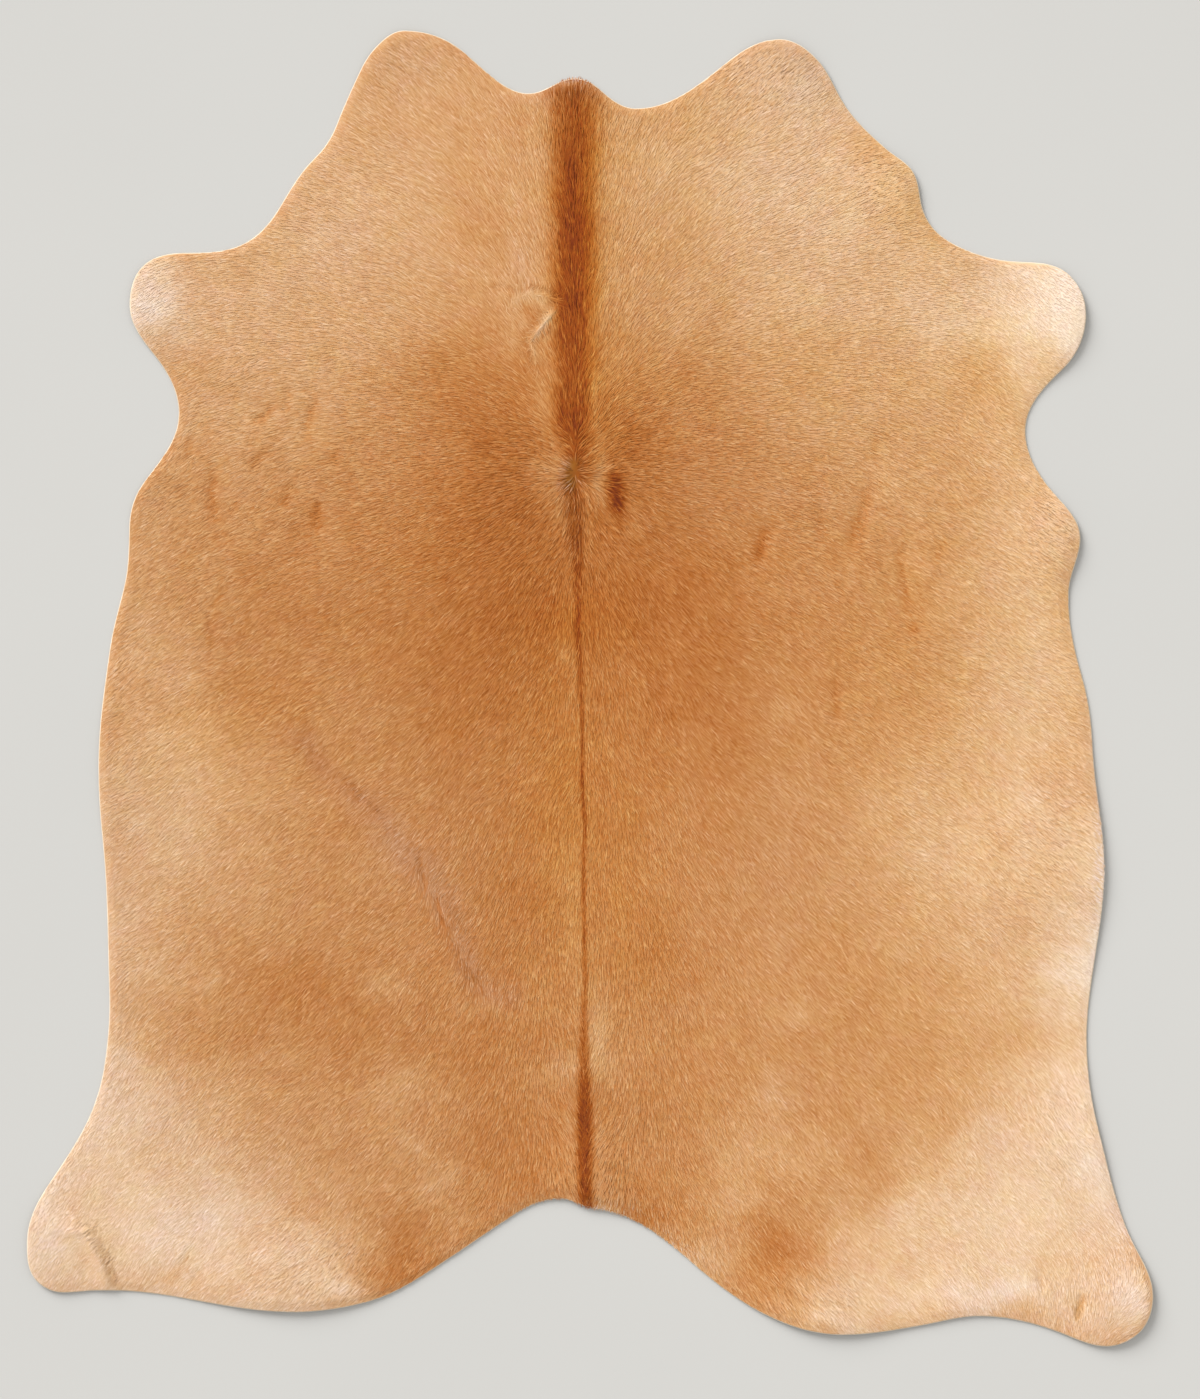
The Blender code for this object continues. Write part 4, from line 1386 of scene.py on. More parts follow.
@dataclass
class LeatherSheet:
    """The leather: one closed sheet under the coat, with a rounded cut edge."""

    skin: SkinShape
    pattern: CoatPattern
    top_pitch: float = 8.3
    underside_pitch: float = 16.0
    edge_step: float = 5.0
    edge_clear: float = 0.6
    edge_round: float = 0.6
    edge_bevel: float = 0.3
    cut_slope: float = 1.5
    cut_depth: float = 1.1
    map_strip: tuple[float, float] = (0.7, 0.2)
    flat_size: tuple[float, float] = (1.800, 2.104)

    def _ring(self, inset: float) -> Array:
        """Move the cut edge inwards.

        Args:
            inset: how far, in millimetres.

        Returns:
            Its points, at even steps.
        """
        outline = self.skin.form.outline
        ring = outline[:: int(self.edge_step / HideForm.OUTLINE_STEP)]
        run = np.roll(ring, -1, axis=0) - np.roll(ring, 1, axis=0)
        run /= np.linalg.norm(run, axis=1)[:, None]
        return ring + inset * np.stack([-run[:, 1], run[:, 0]], axis=1)

    def _filled(self, ring: Array, pitch: float) -> tuple[Array, Array]:
        """Triangles inside a ring, on staggered rows of points.

        Args:
            ring: the border, anticlockwise.
            pitch: the distance between points.

        Returns:
            The points, the ring's first, and the triangles.
        """
        form = self.skin.form
        rows = np.arange(form.low[1], form.high[1], pitch * math.sqrt(0.75))
        columns = np.arange(form.low[0], form.high[0], pitch)
        x, y = np.meshgrid(columns, rows)
        x[1::2] += pitch / 2
        x, y = x.ravel(), y.ravel()
        inner = form.inset.at(x, y) > self.edge_clear * pitch
        points = np.vstack([ring, np.stack([x[inner], y[inner]], axis=1)])
        border = list(range(len(ring)))
        found = delaunay_2d_cdt([Vector(p) for p in points], [], [border], 1, 1e-4)
        return np.array([tuple(p) for p in found[0]]), np.array([tuple(f) for f in found[2]])

    def build(self, materials: list[bpy.types.Material]) -> bpy.types.Object:
        """Make the sheet.

        Args:
            materials: for the hair side, the flesh side and the cut edge.

        Returns:
            The piece, which stands for the CAD hide.
        """
        skin, soft = self.skin, self.edge_round
        top, top_faces = self._filled(self._ring(self.cut_slope), self.top_pitch)
        under, under_faces = self._filled(self._ring(soft), self.underside_pitch)
        rings = [self._ring(inset) for inset in (soft, 0, self.edge_bevel, self.cut_slope)]
        layers = [np.column_stack([top, skin.undercoat_top(*top.T)])]
        layers.append(np.column_stack([under, skin.underside(*under.T)]))
        foot = skin.underside(*rings[0].T)
        height = skin.undercoat_top(*rings[3].T) - foot
        for ring, rise in zip(rings, (0 * foot, 0 * foot + soft, height - self.cut_depth, height)):
            layers.append(np.column_stack([ring, foot + rise]))
        starts = np.cumsum([0, *map(len, layers)])
        count = len(rings[0])
        here = np.arange(count)
        ahead = (here + 1) % count
        faces = [top_faces + starts[0], under_faces[:, ::-1] + starts[1]]
        for level in range(3):
            low, high = starts[2 + level], starts[3 + level]
            faces.append(np.column_stack([here + low, ahead + low, ahead + high]))
            faces.append(np.column_stack([here + low, ahead + high, here + high]))
        points, triangles = np.vstack(layers), np.vstack(faces)
        mesh = mesh_of("hide_sheet", points, triangles)
        slots = np.repeat([0, 1, 2], [len(top_faces), len(under_faces), 6 * count])
        mesh.polygons.foreach_set("material_index", slots.astype(np.int32))
        self._lay_out(mesh, points, triangles, slots)
        add_mark(mesh, Mark.TONE, self.pattern.tone(*points[:, :2].T))
        add_mark(mesh, Mark.WARMTH, self.pattern.warmth(*points[:, :2].T))
        self._weld(mesh)
        piece = add_piece(mesh, materials)
        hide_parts("hide")
        return piece

    def _lay_out(self, mesh: bpy.types.Mesh, points: Array, triangles: Array, slots: Array) -> None:
        """Lay both faces side by side on the bake's map, and the edge along its top.

        Args:
            mesh: the sheet.
            points: its corners, in millimetres.
            triangles: three corner numbers in each row.
            slots: each triangle's slot.
        """
        low, high = self.skin.form.low, self.skin.form.high
        places = (points[triangles][:, :, :2] - low) / (2 * (high - low)[0])
        places[slots == 1, :, 0] += 0.5
        edge = slots == 2
        around = np.arctan2(points[:, 1], points[:, 0])[triangles[edge]] / (2 * math.pi) + 0.5
        around -= np.round(around - around[:, :1])
        foot, height = self.map_strip
        rise = foot + height * points[:, 2][triangles[edge]] / points[:, 2].max()
        places[edge] = np.stack([np.clip(around, 0, 1), rise], axis=2)
        add_map(mesh, places.reshape(-1, 2))

    @staticmethod
    def _weld(mesh: bpy.types.Mesh) -> None:
        """Join the faces and the edge into one closed sheet.

        Args:
            mesh: the sheet.
        """
        shape = bmesh.new()
        shape.from_mesh(mesh)
        bmesh.ops.remove_doubles(shape, verts=shape.verts, dist=WELD * MM)
        shape.to_mesh(mesh)
        shape.free()


@dataclass(frozen=True)
class LockShape:
    """One lock of hair, lying along X: a slender leaf that bends over at its widest place."""

    belly: float = 0.40
    belly_rise: float = 0.70

    @staticmethod
    def _choose(lock: bpy.types.Object, wanted: Callable[[Vector], bool]) -> None:
        """Go to edit mode with only the wanted corners selected.

        Args:
            lock: the object.
            wanted: tells by a corner's place if it is wanted.
        """
        bpy.ops.object.mode_set(mode="EDIT")
        bpy.ops.mesh.select_mode(type="VERT")
        bpy.ops.mesh.select_all(action="DESELECT")
        bpy.ops.object.mode_set(mode="OBJECT")
        for corner in lock.data.vertices:
            corner.select = wanted(corner.co)
        bpy.ops.object.mode_set(mode="EDIT")

    def model(self) -> tuple[Array, Array]:
        """Model the lock once, one unit long and wide.

        Returns:
            Its corners, and its triangles, both facing up.
        """
        bpy.ops.object.select_all(action="DESELECT")
        bpy.ops.mesh.primitive_circle_add(vertices=4, radius=0.5, fill_type="NGON", location=(0.5, 0, 0))
        lock = bpy.context.object
        bpy.ops.object.transform_apply(location=True)
        self._choose(lock, lambda place: abs(place.y) > 0.1)
        bpy.ops.mesh.vert_connect()
        bpy.ops.transform.translate(value=(self.belly - 0.5, 0, 0))
        bpy.ops.object.mode_set(mode="OBJECT")
        corners = np.array([tuple(corner.co) for corner in lock.data.vertices])
        faces = np.array([tuple(face.vertices) for face in lock.data.polygons])
        one, two, three = (corners[faces[:, k]] for k in range(3))
        upside_down = np.cross(two - one, three - one)[:, 2] < 0
        faces[upside_down] = faces[upside_down][:, ::-1]
        bpy.data.objects.remove(lock, do_unlink=True)
        return corners, faces


class CoatBand(NamedTuple):
    """A stretch of the coat from one height to the next, as a piece of its own."""

    name: str
    y_low: float
    y_high: float


COAT_BANDS = (
    CoatBand("coat_neck", 500, 2000),
    CoatBand("coat_shoulders", 115, 500),
    CoatBand("coat_barrel", -255, 115),
    CoatBand("coat_loin", -620, -255),
    CoatBand("coat_rump", -2000, -620),
)


@dataclass
class HairCoat:
    """The lying coat: flat tapering locks that overlap like thatch, rooted in the leather."""

    skin: SkinShape
    pattern: CoatPattern
    combing: Combing
    spacing: float = 2.75
    length: float = 18.0
    shortest: float = 7.0
    width: float = 1.8
    trim: float = 1.7
    root_depth: float = 0.5
    lowest_tip: float = 0.7
    tip_bleach: float = 0.05
    tip_drop: float = 0.22
    softness: float = 0.86
    scatter: float = 0.10
    roll: float = 0.08
    size_spread: tuple[float, float] = (0.75, 1.25)
    trim_spread: tuple[float, float] = (0.3, 1.3)
    short_spread: tuple[float, float] = (0.8, 1.3)
    fade_most: float = 1.5
    stray_share: float = 0.02
    stray_rise: tuple[float, float] = (0.1, 0.6)
    hollow_share: float = 0.5
    shade_steps: float = 8.0
    shade_step: float = 0.35
    shade_most: float = 2.6
    bands: tuple[CoatBand, ...] = COAT_BANDS
    shape: LockShape = field(default_factory=LockShape)
    slopes: tuple[Field, Field] = field(init=False)

    def __post_init__(self) -> None:
        """Read the coat's slopes once for all bands."""
        self.slopes = self.skin.coat_slopes()

    def build(self, material: bpy.types.Material) -> list[bpy.types.Object]:
        """Grow the coat.

        Args:
            material: the coat's finish.

        Returns:
            The coat's pieces, from neck to rump.
        """
        locks = self._grown()
        pieces = []
        for band in self.bands:
            chosen = (locks["y"] >= band.y_low) & (locks["y"] < band.y_high)
            pieces.append(self._band_piece(band.name, {k: v[chosen] for k, v in locks.items()}, material))
        return pieces

    def _roots(self, rng: np.random.Generator) -> tuple[Array, Array, Array]:
        """Set roots in uneven rows all over the leather.

        Args:
            rng: the random draws.

        Returns:
            Each root's X, Y and row number.
        """
        form = self.skin.form
        columns, rows = form.grid(self.spacing)
        x, y = np.meshgrid(columns, rows)
        row = np.broadcast_to(np.arange(len(rows))[:, None], x.shape)
        x = x + rng.uniform(-0.5, 0.5, x.shape) * self.spacing
        y = y + rng.uniform(-0.5, 0.5, x.shape) * self.spacing
        rooted = form.inset.at(x, y) > self.trim
        return x[rooted], y[rooted], row[rooted]

    def _grown(self) -> dict[str, Array]:
        """Work out every lock.

        Returns:
            Their roots, tips, sizes and colours, by name.
        """
        form, rng = self.skin.form, np.random.default_rng(SEED)
        x, y, row = self._roots(rng)
        count = len(x)
        turn = self.combing.heading(x, y) + rng.normal(0, self.scatter, count)
        along_x, along_y = np.cos(turn), np.sin(turn)
        length = self.length + patch_sum(LENGTH_PATCHES, x, y)
        length *= rng.uniform(*self.size_spread, count)
        allowed = -self.trim * rng.uniform(*self.trim_spread, count)
        allowed += patch_sum(FRINGE_PATCHES, x, y) * rng.uniform(0, 1, count) ** 2
        root_inset = form.inset.at(x, y)
        tip_inset = form.inset.at(x + length * along_x, y + length * along_y)
        over = tip_inset < -allowed
        share = (root_inset + allowed) / np.maximum(root_inset - tip_inset, 1e-3)
        length = np.where(over, length * np.clip(share, 0, 1), length)
        short = np.maximum(self.shortest * rng.uniform(*self.short_spread, count) - length, 0)
        x, y, length = x - short * along_x, y - short * along_y, length + short
        tip_x, tip_y = x + length * along_x, y + length * along_y
        tip_z = self.skin.coat_top(tip_x, tip_y) - rng.uniform(0, self.tip_drop, count)
        belly = self.shape.belly
        middle = x + belly * length * along_x, y + belly * length * along_y
        ends = (1 - belly) * self.skin.undercoat_top(x, y) + belly * self.skin.undercoat_top(tip_x, tip_y)
        bow = self.skin.undercoat_top(*middle) - ends
        is_stray = rng.uniform(0, 1, count) < self.stray_share
        stray = np.where(is_stray, rng.uniform(*self.stray_rise, count), 0)
        fade = patch_sum(TIP_FADES, tip_x, tip_y) * rng.uniform(0, self.fade_most, count) ** 2
        return {
            "x": x,
            "y": y,
            "z": self.skin.undercoat_top(x, y) - self.root_depth,
            "tip_x": tip_x,
            "tip_y": tip_y,
            "tip_z": np.maximum(tip_z + stray, self.lowest_tip),
            "bow": np.where(bow > 0, bow, self.hollow_share * bow),
            "row": row,
            "width": self.width * rng.uniform(*self.size_spread, count),
            "roll": rng.normal(0, self.roll, count),
            "fade": fade,
            "tone": self.pattern.tone(*middle),
            "tip_tone": self.pattern.tone(tip_x, tip_y),
            "warmth": self.pattern.warmth(*middle),
            "tip_warmth": self.pattern.warmth(tip_x, tip_y),
            "shade": self._shades(rng, count),
        }

    def _shades(self, rng: np.random.Generator, count: int) -> Array:
        """Draw each lock's own shade, about zero: many a little dark and a few much paler.

        Args:
            rng: the random draws.
            count: how many locks.

        Returns:
            The shades.
        """
        middle = self.shade_steps * self.shade_step
        return np.minimum(rng.gamma(self.shade_steps, self.shade_step, count) - middle, self.shade_most)

    def _band_piece(
        self, name: str, locks: dict[str, Array], material: bpy.types.Material
    ) -> bpy.types.Object:
        """Copy the modelled lock to every root of a band, as one mesh.

        Args:
            name: the piece's name.
            locks: the band's locks.
            material: the coat's finish.

        Returns:
            The piece.
        """
        corners, faces = self.shape.model()
        along, across = corners[:, 0], corners[:, 1]
        count = len(locks["x"])

        def each(key: str) -> Array:
            """A value of every lock, as a column."""
            return locks[key][:, None]

        run_x, run_y = each("tip_x") - each("x"), each("tip_y") - each("y")
        reach = np.hypot(run_x, run_y)
        side_x, side_y = -run_y / reach * each("width"), run_x / reach * each("width")
        x = each("x") + along * run_x + across * side_x
        y = each("y") + along * run_y + across * side_y
        bend = np.interp(along, [0, self.shape.belly, 1], [0, self.shape.belly_rise, 1])
        bow = np.interp(along, [0, self.shape.belly, 1], [0, 1, 0]) * each("bow")
        z = each("z") + bend * (each("tip_z") - each("z")) + bow + 2 * across * each("roll")
        points = np.stack([x, y, z], axis=2).reshape(-1, 3)
        first = np.arange(count)[:, None, None] * len(corners)
        triangles = (faces[None] + first).reshape(-1, 3)
        mesh = mesh_of(name, points, triangles)
        self._soften(mesh, points)
        ones = np.ones((1, len(corners)))
        outer = np.clip((along - self.shape.belly) / (1 - self.shape.belly), 0, 1)
        bleach = 2 * self.tip_bleach * (along - self.shape.belly) + each("fade") * along**2
        tone = each("tone") + outer * (each("tip_tone") - each("tone"))
        warmth = each("warmth") + outer * (each("tip_warmth") - each("warmth"))
        add_mark(mesh, Mark.TONE, tone - bleach)
        add_mark(mesh, Mark.WARMTH, warmth - 2 * each("fade") * along**2)
        add_mark(mesh, Mark.SHADE, each("shade") * ones)
        add_mark(mesh, Mark.ALONG, np.broadcast_to(along, x.shape))
        add_mark(mesh, Mark.ACROSS, np.broadcast_to(across, x.shape))
        self._lay_out(mesh, locks, along, across, triangles)
        return add_piece(mesh, [material])

    def _soften(self, mesh: bpy.types.Mesh, points: Array) -> None:
        """Turn the shading most of the way to the coat's own surface, so that the light finds one soft body.

        Args:
            mesh: the locks.
            points: their corners, in millimetres.
        """
        own = np.empty(points.size, np.float32)
        mesh.vertex_normals.foreach_get("vector", own)
        climb_x, climb_y = (slope.at(points[:, 0], points[:, 1]) for slope in self.slopes)
        surface = np.stack([-climb_x, -climb_y, np.ones(len(points))], axis=1)
        surface /= np.linalg.norm(surface, axis=1)[:, None]
        turned = self.softness * surface + (1 - self.softness) * own.reshape(-1, 3)
        turned /= np.linalg.norm(turned, axis=1)[:, None]
        mesh.normals_split_custom_set_from_vertices(turned)

    def _lay_out(
        self, mesh: bpy.types.Mesh, locks: dict[str, Array], along: Array, across: Array, triangles: Array
    ) -> None:
        """Give every lock its own place on the bake's map: by its root across, and a row's height along it.

        Args:
            mesh: the band's locks.
            locks: their measures, by name.
            along: how far along a lock each of its corners is.
            across: how far across.
            triangles: three corner numbers in each row.
        """
        form = self.skin.form
        first, last = locks["row"].min(), locks["row"].max()
        u = (locks["x"][:, None] - form.low[0] + across * self.spacing) / (form.high[0] - form.low[0])
        v = (locks["row"][:, None] - first + along) / (last - first + 1)
        places = np.stack([u, np.broadcast_to(v, u.shape)], axis=2).reshape(-1, 2)
        add_map(mesh, np.clip(places, 0, 1)[triangles.ravel()])


def linear(value: float) -> float:
    """A screen colour from 0 to 1 as light."""
    return value / 12.92 if value <= 0.04045 else ((value + 0.055) / 1.055) ** 2.4


def colour_of(screen: Screen, gain: tuple[float, ...] = (1, 1, 1), haze: float = 0) -> tuple[float, ...]:
    """A screen colour as a shader colour.

    Args:
        screen: red, green and blue, from 0 to 255.
        gain: how much lighter the shader colour is, for each.
        haze: the light that gloss adds over it, which is taken off first.

    Returns:
        Red, green, blue and 1.
    """
    light = [max(linear(value / 255) - haze, DARKEST) for value in screen]
    return (*(share * value for share, value in zip(gain, light)), 1.0)


class NodeBench:
    """A small helper to place and wire shader nodes."""

    def __init__(self, tree: bpy.types.NodeTree) -> None:
        """Keep the tree."""
        self.tree = tree

    def add(self, kind: str, inputs: dict[Any, Any] | None = None, **settings: Any) -> bpy.types.Node:
        """Add a node, set it up and wire its inputs.

        Args:
            kind: the node's type.
            inputs: a value or an output socket for each input, by name or number.
            **settings: the node's own settings.

        Returns:
            The node.
        """
        node = self.tree.nodes.new(kind)
        for name, value in settings.items():
            setattr(node, name, value)
        self.wire(node, inputs or {})
        return node

    def wire(self, node: bpy.types.Node, inputs: dict[Any, Any]) -> None:
        """Feed a node's inputs.

        Args:
            node: the node.
            inputs: a value or an output socket for each input, by name or number.
        """
        for key, value in inputs.items():
            if isinstance(value, bpy.types.NodeSocket):
                self.tree.links.new(value, node.inputs[key])
            else:
                node.inputs[key].default_value = value

    def maths(self, operation: str, *values: Any) -> bpy.types.NodeSocket:
        """A sum of one, two or three values or sockets."""
        return self.add("ShaderNodeMath", dict(enumerate(values)), operation=operation).outputs[0]

    def vectors(self, operation: str, inputs: dict[Any, Any]) -> bpy.types.NodeSocket:
        """A sum of colours or directions, part by part."""
        return self.add("ShaderNodeVectorMath", inputs, operation=operation).outputs["Vector"]

    def bump(self, height: bpy.types.NodeSocket, strength: float, depth: float) -> bpy.types.NodeSocket:
        """The normal of a fine relief, with its depth in millimetres."""
        inputs = {"Height": height, "Strength": strength, "Distance": depth * MM}
        return self.add("ShaderNodeBump", inputs).outputs["Normal"]

    def noise(self, place: bpy.types.NodeSocket, scale: float, detail: float = 2.0) -> bpy.types.NodeSocket:
        """Soft noise from about 0 to 1."""
        inputs = {"Vector": place, "Scale": scale, "Detail": detail, "Roughness": 0.55}
        return self.add("ShaderNodeTexNoise", inputs).outputs["Fac"]

    def spread(self, noise: bpy.types.NodeSocket, most: float, middle: float) -> bpy.types.NodeSocket:
        """Noise brought to a middle, with so much between its lowest and its highest."""
        return self.maths("MULTIPLY_ADD", noise, most, middle - most / 2)

    def mark(self, mark: Mark) -> bpy.types.NodeSocket:
        """One of the coat's attributes."""
        node = self.add("ShaderNodeAttribute", attribute_name=mark.value)
        return node.outputs["Fac"]


@dataclass(frozen=True)
class CoatColours:
    """How the coat's tone, warmth and grain turn into colour, shared by the hair and the skin under it."""

    gain: tuple[float, float, float] = (0.763, 0.760, 0.757)
    haze: float = 0.013
    warm: tuple[float, float, float] = (0.012, -0.045, -0.28)
    flush: tuple[float, float, float] = (0.0, 0.11, 0.22)
    flush_scale: float = 42.0
    clump_scale: float = 95.0
    clump_tone: float = 0.06
    dapple_scale: float = 30.0
    dapple_tone: float = 0.08
    shade_step: float = 0.025
    strand_tone: float = 0.070
    strand_floor: float = 0.45
    # The next four set painted shade towards each lock's root and painted light towards its tip.
    root_shade_tone: float = 0.14
    root_end: float = 0.6
    root_shadow: float = 0.92
    tip_light: float = 1.05
    # Streaks across each lock and painted glints along its crimp.
    streak_and_glint: float = 0.32
    crimp_scale: float = 1.6
    crimp: tuple[float, float, float] = (2.6, 2.2, 37.0)
    roughness: float = 0.64
    rough_scale: float = 160.0
    rough_spread: float = 0.16

    def group(self) -> bpy.types.NodeTree:
        """Build the shader group once.

        Returns:
            The group, with Tone, Warmth, Shade, Along and Across in, and Color and Roughness out.
        """
        tree = bpy.data.node_groups.new("coat_colour", "ShaderNodeTree")
        for mark in Mark:
            tree.interface.new_socket(mark.name.title(), in_out="INPUT", socket_type="NodeSocketFloat")
        tree.interface.new_socket("Color", in_out="OUTPUT", socket_type="NodeSocketColor")
        tree.interface.new_socket("Roughness", in_out="OUTPUT", socket_type="NodeSocketFloat")
        bench = NodeBench(tree)
        given = bench.add("NodeGroupInput").outputs
        place = bench.add("ShaderNodeTexCoord").outputs["Object"]
        tone = self._ruffled_tone(bench, given, place)
        base = self._ramp(bench, tone)
        warmed = self._warmed(bench, base, given["Warmth"], place)
        light = self._light(bench, given)
        colour = bench.vectors("SCALE", {0: warmed, "Scale": light})
        rough = bench.spread(bench.noise(place, self.rough_scale), self.rough_spread, self.roughness)
        bench.add("NodeGroupOutput", {"Color": colour, "Roughness": rough})
        return tree

    def _ruffled_tone(self, bench: NodeBench, given: Any, place: Any) -> bpy.types.NodeSocket:
        """Mottle the tone as a living coat is, with paler hairs among darker ones, and darken it towards the
        roots as painted shade deep in the coat.

        Args:
            bench: the group's bench.
            given: the group's inputs.
            place: the place on the hide.

        Returns:
            The mottled tone.
        """
        clumps = bench.spread(bench.noise(place, self.clump_scale, 3.0), self.clump_tone, 0)
        dapple = bench.spread(bench.noise(place, self.dapple_scale, 3.0), self.dapple_tone, 0)
        floor = -self.strand_floor * self.strand_tone
        spread = bench.maths("MULTIPLY_ADD", given["Tone"], -self.strand_tone, floor)
        strand = bench.maths("MULTIPLY_ADD", given["Shade"], spread, clumps)
        # Painted shade: darker towards each lock's root and a little paler towards its tip.
        depth = bench.maths("MULTIPLY_ADD", given["Along"], -self.root_shade_tone, self.root_end * self.root_shade_tone)
        tone = bench.maths("ADD", given["Tone"], dapple)
        return bench.maths("ADD", tone, bench.maths("ADD", strand, depth))

    def _ramp(self, bench: NodeBench, tone: bpy.types.NodeSocket) -> bpy.types.NodeSocket:
        """Find the coat's colour for a tone.

        Args:
            bench: the group's bench.
            tone: the tone.

        Returns:
            The colour.
        """
        low, high = COAT_RAMP[0].tone, COAT_RAMP[-1].tone
        span = bench.add("ShaderNodeMapRange", {"Value": tone, "From Min": low, "From Max": high})
        node = bench.add("ShaderNodeValToRGB", {"Fac": span.outputs["Result"]})
        stops = node.color_ramp.elements
        stops.remove(stops[1])
        for index, stop in enumerate(COAT_RAMP):
            at = (stop.tone - low) / (high - low)
            element = stops[0] if index == 0 else stops.new(at)
            element.position = at
            element.color = colour_of((stop.red, stop.green, stop.blue), self.gain, self.haze)
        return node.outputs["Color"]

    def _warmed(self, bench: NodeBench, base: Any, warmth: Any, place: Any) -> bpy.types.NodeSocket:
        """Turn the colour to amber or to grey, and flush it a little from place to place.

        Args:
            bench: the group's bench.
            base: the colour.
            warmth: how far it turns to amber.
            place: the place on the hide.

        Returns:
            The turned colour.
        """
        amount = bench.vectors("SCALE", {0: self.warm, "Scale": warmth})
        inputs = {"Vector": place, "Scale": self.flush_scale, "Detail": 4.0}
        blush = bench.add("ShaderNodeTexNoise", inputs).outputs["Color"]
        middle = tuple(1 - part / 2 for part in self.flush)
        tint = bench.vectors("MULTIPLY_ADD", {0: blush, 1: self.flush, 2: middle})
        return bench.vectors("MULTIPLY", {0: base, 1: bench.vectors("ADD", {0: amount, 1: tint})})

    def _light(self, bench: NodeBench, given: Any) -> bpy.types.NodeSocket:
        """Work out how light each hair is: its own shade, streaks and a painted glint on its crimp, and
        painted shade towards the root and light towards the tip.

        Args:
            bench: the group's bench.
            given: the group's inputs.

        Returns:
            The light, about 1.
        """
        sizes = zip(("Across", "Along", "Shade"), self.crimp)
        parts = [bench.maths("MULTIPLY", given[name], size) for name, size in sizes]
        crimp = bench.add("ShaderNodeCombineXYZ", dict(enumerate(parts))).outputs[0]
        streak_and_glint = bench.spread(bench.noise(crimp, self.crimp_scale, 1.0), self.streak_and_glint, 1)
        shade = bench.maths("MULTIPLY_ADD", given["Shade"], self.shade_step, 1.0)
        span = {"Value": given["Along"], "To Min": self.root_shadow, "To Max": self.tip_light}
        along = bench.add("ShaderNodeMapRange", span).outputs["Result"]
        return bench.maths("MULTIPLY", bench.maths("MULTIPLY", streak_and_glint, shade), along)


def new_material(name: str, shine: dict[str, float]) -> tuple[bpy.types.Material, NodeBench, bpy.types.Node]:
    """Start a node material.

    Args:
        name: its name.
        shine: values set on the shader itself.

    Returns:
        The material, a bench for its nodes and its shader.
    """
    material = bpy.data.materials.new(name)
    material.use_nodes = True
    shader = material.node_tree.nodes["Principled BSDF"]
    for key, value in shine.items():
        shader.inputs[key].default_value = value
    return material, NodeBench(material.node_tree), shader


@dataclass(frozen=True)
class HairFinish:
    """The hair's finish: soft, a little glossy, each lock with its own shade."""

    specular: float = 0.15
    sheen: float = 0.02
    sheen_roughness: float = 0.5

    def material(self, colours: bpy.types.NodeTree) -> bpy.types.Material:
        """Build the material.

        Args:
            colours: the shared coat colours.

        Returns:
            The material.
        """
        shine = {
            "Specular IOR Level": self.specular,
            "Sheen Weight": self.sheen,
            "Sheen Roughness": self.sheen_roughness,
        }
        material, bench, shader = new_material("coat_hair", shine)
        inputs = {mark.name.title(): bench.mark(mark) for mark in Mark}
        paint = bench.add("ShaderNodeGroup", inputs, node_tree=colours).outputs
        bench.wire(shader, {"Base Color": paint["Color"], "Roughness": paint["Roughness"]})
        return material


@dataclass(frozen=True)
class SkinFinish:
    """The hair side of the leather, seen only between the locks: short underhair, painted darker as shade
    under the locks.
    """

    specular: float = 0.15
    # Its shade and along darken it with the coat's painted root shade.
    shade: float = -0.4
    along: float = 0.5
    grain_scale: float = 900.0
    grain_depth: float = 0.3
    bump: float = 0.25

    def material(self, colours: bpy.types.NodeTree) -> bpy.types.Material:
        """Build the material.

        Args:
            colours: the shared coat colours.

        Returns:
            The material.
        """
        material, bench, shader = new_material("coat_underhair", {"Specular IOR Level": self.specular})
        inputs = {
            "Tone": bench.mark(Mark.TONE),
            "Warmth": bench.mark(Mark.WARMTH),
            "Shade": self.shade,
            "Along": self.along,
        }
        paint = bench.add("ShaderNodeGroup", inputs, node_tree=colours).outputs
        place = bench.add("ShaderNodeTexCoord").outputs["Object"]
        grain = bench.bump(bench.noise(place, self.grain_scale), self.bump, self.grain_depth)
        bench.wire(shader, {"Base Color": paint["Color"], "Roughness": paint["Roughness"], "Normal": grain})
        return material


@dataclass(frozen=True)
class SuedeFinish:
    """Bare leather with a raised nap, as on the flesh side and the cut edge."""

    name: str
    pale: Screen
    dark: Screen
    cloud_scale: float
    nap_scale: float
    bump: float
    nap_depth: float = 0.4
    nap_share: float = 0.45
    cloud_share: float = 0.55
    stops: tuple[float, float] = (0.34, 0.66)
    roughness: float = 0.9
    rough_spread: float = 0.12
    specular: float = 0.12
    sheen: float = 0.15

    def material(self) -> bpy.types.Material:
        """Build the material.

        Returns:
            The material.
        """
        shine = {"Specular IOR Level": self.specular, "Sheen Weight": self.sheen}
        material, bench, shader = new_material(self.name, shine)
        place = bench.add("ShaderNodeTexCoord").outputs["Object"]
        cloud = bench.maths("MULTIPLY", bench.noise(place, self.cloud_scale, 4.0), self.cloud_share)
        nap = bench.noise(place, self.nap_scale, 3.0)
        mixed = bench.maths("MULTIPLY_ADD", nap, self.nap_share, cloud)
        ramp = bench.add("ShaderNodeValToRGB", {"Fac": mixed})
        low, high = ramp.color_ramp.elements
        low.position, high.position = self.stops
        low.color, high.color = colour_of(self.dark), colour_of(self.pale)
        inputs = {
            "Base Color": ramp.outputs["Color"],
            "Roughness": bench.spread(nap, self.rough_spread, self.roughness),
            "Normal": bench.bump(nap, self.bump, self.nap_depth),
        }
        bench.wire(shader, inputs)
        return material


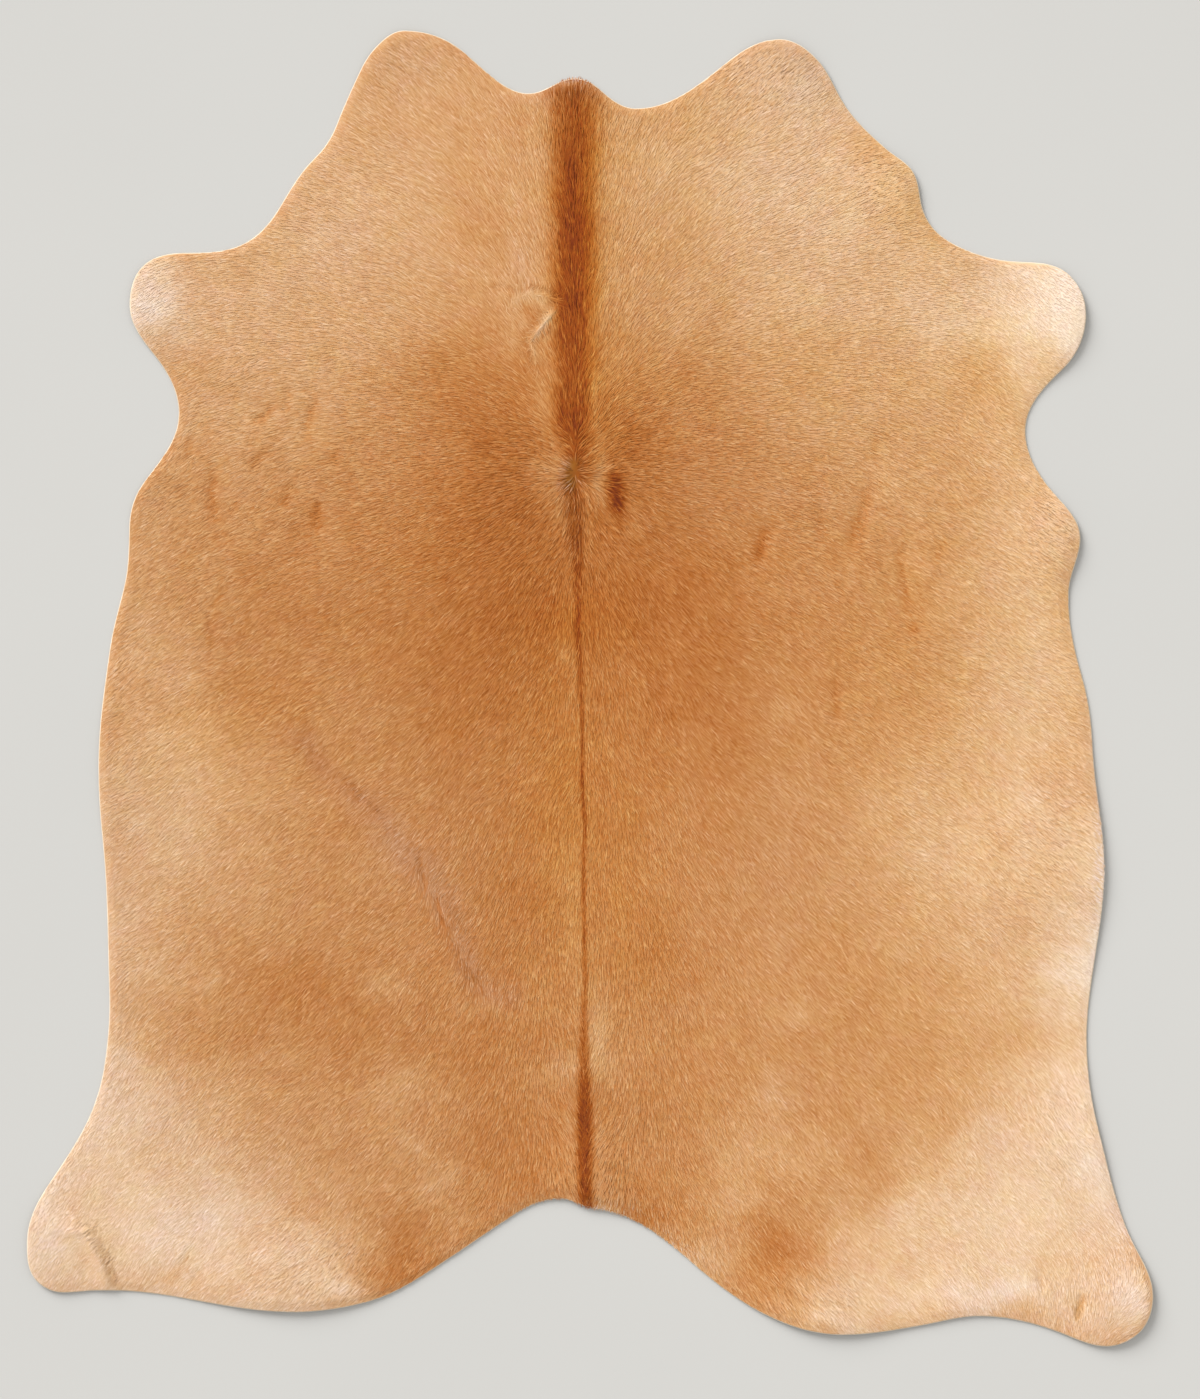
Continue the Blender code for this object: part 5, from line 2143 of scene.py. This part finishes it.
FLESH_SIDE = SuedeFinish("flesh_side", (226, 208, 184), (196, 172, 144), 9.0, 700.0, 0.5)
CUT_EDGE = SuedeFinish("cut_edge", (208, 195, 174), (182, 165, 142), 60.0, 900.0, 0.3)


@dataclass(frozen=True)
class Studio:
    """The pale floor, the soft light and the camera over the hide."""

    image_length: float = 2238.4
    centre_x: float = 16.0
    centre_y: float = -17.6
    camera_height: float = 6500.0
    floor_size: float = 14.0
    floor_drop: float = 0.2
    floor_dark: Screen = (176, 175, 172)
    floor_pale: Screen = (181, 180, 177)
    floor_cloud_scale: float = 1.2
    floor_specular: float = 0.2
    floor_roughness: float = 0.85
    key_strength: float = 4.7
    key_height_deg: float = 25.0
    key_heading_deg: float = 128.0
    key_softness_deg: float = 34.0
    sky_strength: float = 0.92
    sky_colour: tuple[float, float, float, float] = (1.0, 0.99, 0.97, 1.0)

    def build(self) -> None:
        """Set the studio up."""
        self._floor()
        self._light()
        self._camera()
        bpy.context.scene.view_settings.view_transform = "Standard"

    def _floor(self) -> None:
        """A plain pale floor."""
        bpy.ops.object.select_all(action="DESELECT")
        bpy.ops.mesh.primitive_plane_add(size=self.floor_size, location=(0, 0, -self.floor_drop * MM))
        floor = bpy.context.object
        floor.name = "floor"
        material, bench, shader = new_material("pale_floor", {"Specular IOR Level": self.floor_specular})
        place = bench.add("ShaderNodeTexCoord").outputs["Object"]
        ramp = bench.add("ShaderNodeValToRGB", {"Fac": bench.noise(place, self.floor_cloud_scale, 3.0)})
        low, high = ramp.color_ramp.elements
        low.color, high.color = colour_of(self.floor_dark), colour_of(self.floor_pale)
        bench.wire(shader, {"Base Color": ramp.outputs["Color"], "Roughness": self.floor_roughness})
        floor.data.materials.append(material)

    def _light(self) -> None:
        """A soft low key from the upper left, and an even white sky."""
        bpy.ops.object.light_add(type="SUN")
        key = bpy.context.object
        key.name = "key"
        key.data.energy = self.key_strength
        key.data.angle = math.radians(self.key_softness_deg)
        lean = math.radians(90 - self.key_height_deg)
        heading = math.radians(self.key_heading_deg)
        out, up = math.sin(lean), math.cos(lean)
        towards = Vector((out * math.cos(heading), out * math.sin(heading), up))
        key.rotation_euler = towards.to_track_quat("Z", "Y").to_euler()
        world = bpy.data.worlds.new("studio_sky")
        bpy.context.scene.world = world
        world.use_nodes = True
        sky = world.node_tree.nodes["Background"]
        sky.inputs["Color"].default_value = self.sky_colour
        sky.inputs["Strength"].default_value = self.sky_strength

    def _camera(self) -> None:
        """A long lens straight over the hide, framed as in the photograph."""
        bpy.ops.object.camera_add(location=(self.centre_x * MM, self.centre_y * MM, self.camera_height * MM))
        camera = bpy.context.object
        camera.data.sensor_fit = "AUTO"
        camera.data.lens = camera.data.sensor_width * self.camera_height / self.image_length
        bpy.context.scene.camera = camera


def main() -> None:
    """Build the hide in its studio."""
    logging.basicConfig(level=logging.INFO, format="%(message)s")
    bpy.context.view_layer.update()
    bpy.ops.object.select_all(action="DESELECT")
    form = HideForm(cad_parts["hide"])
    skin, combing = SkinShape(form), Combing(form)
    pattern = CoatPattern(form, combing)
    colours = CoatColours().group()
    sheet = LeatherSheet(skin, pattern).build(
        [SkinFinish().material(colours), FLESH_SIDE.material(), CUT_EDGE.material()]
    )
    coat = HairCoat(skin, pattern, combing).build(HairFinish().material(colours))
    Studio().build()


if __name__ == "__main__":
    main()
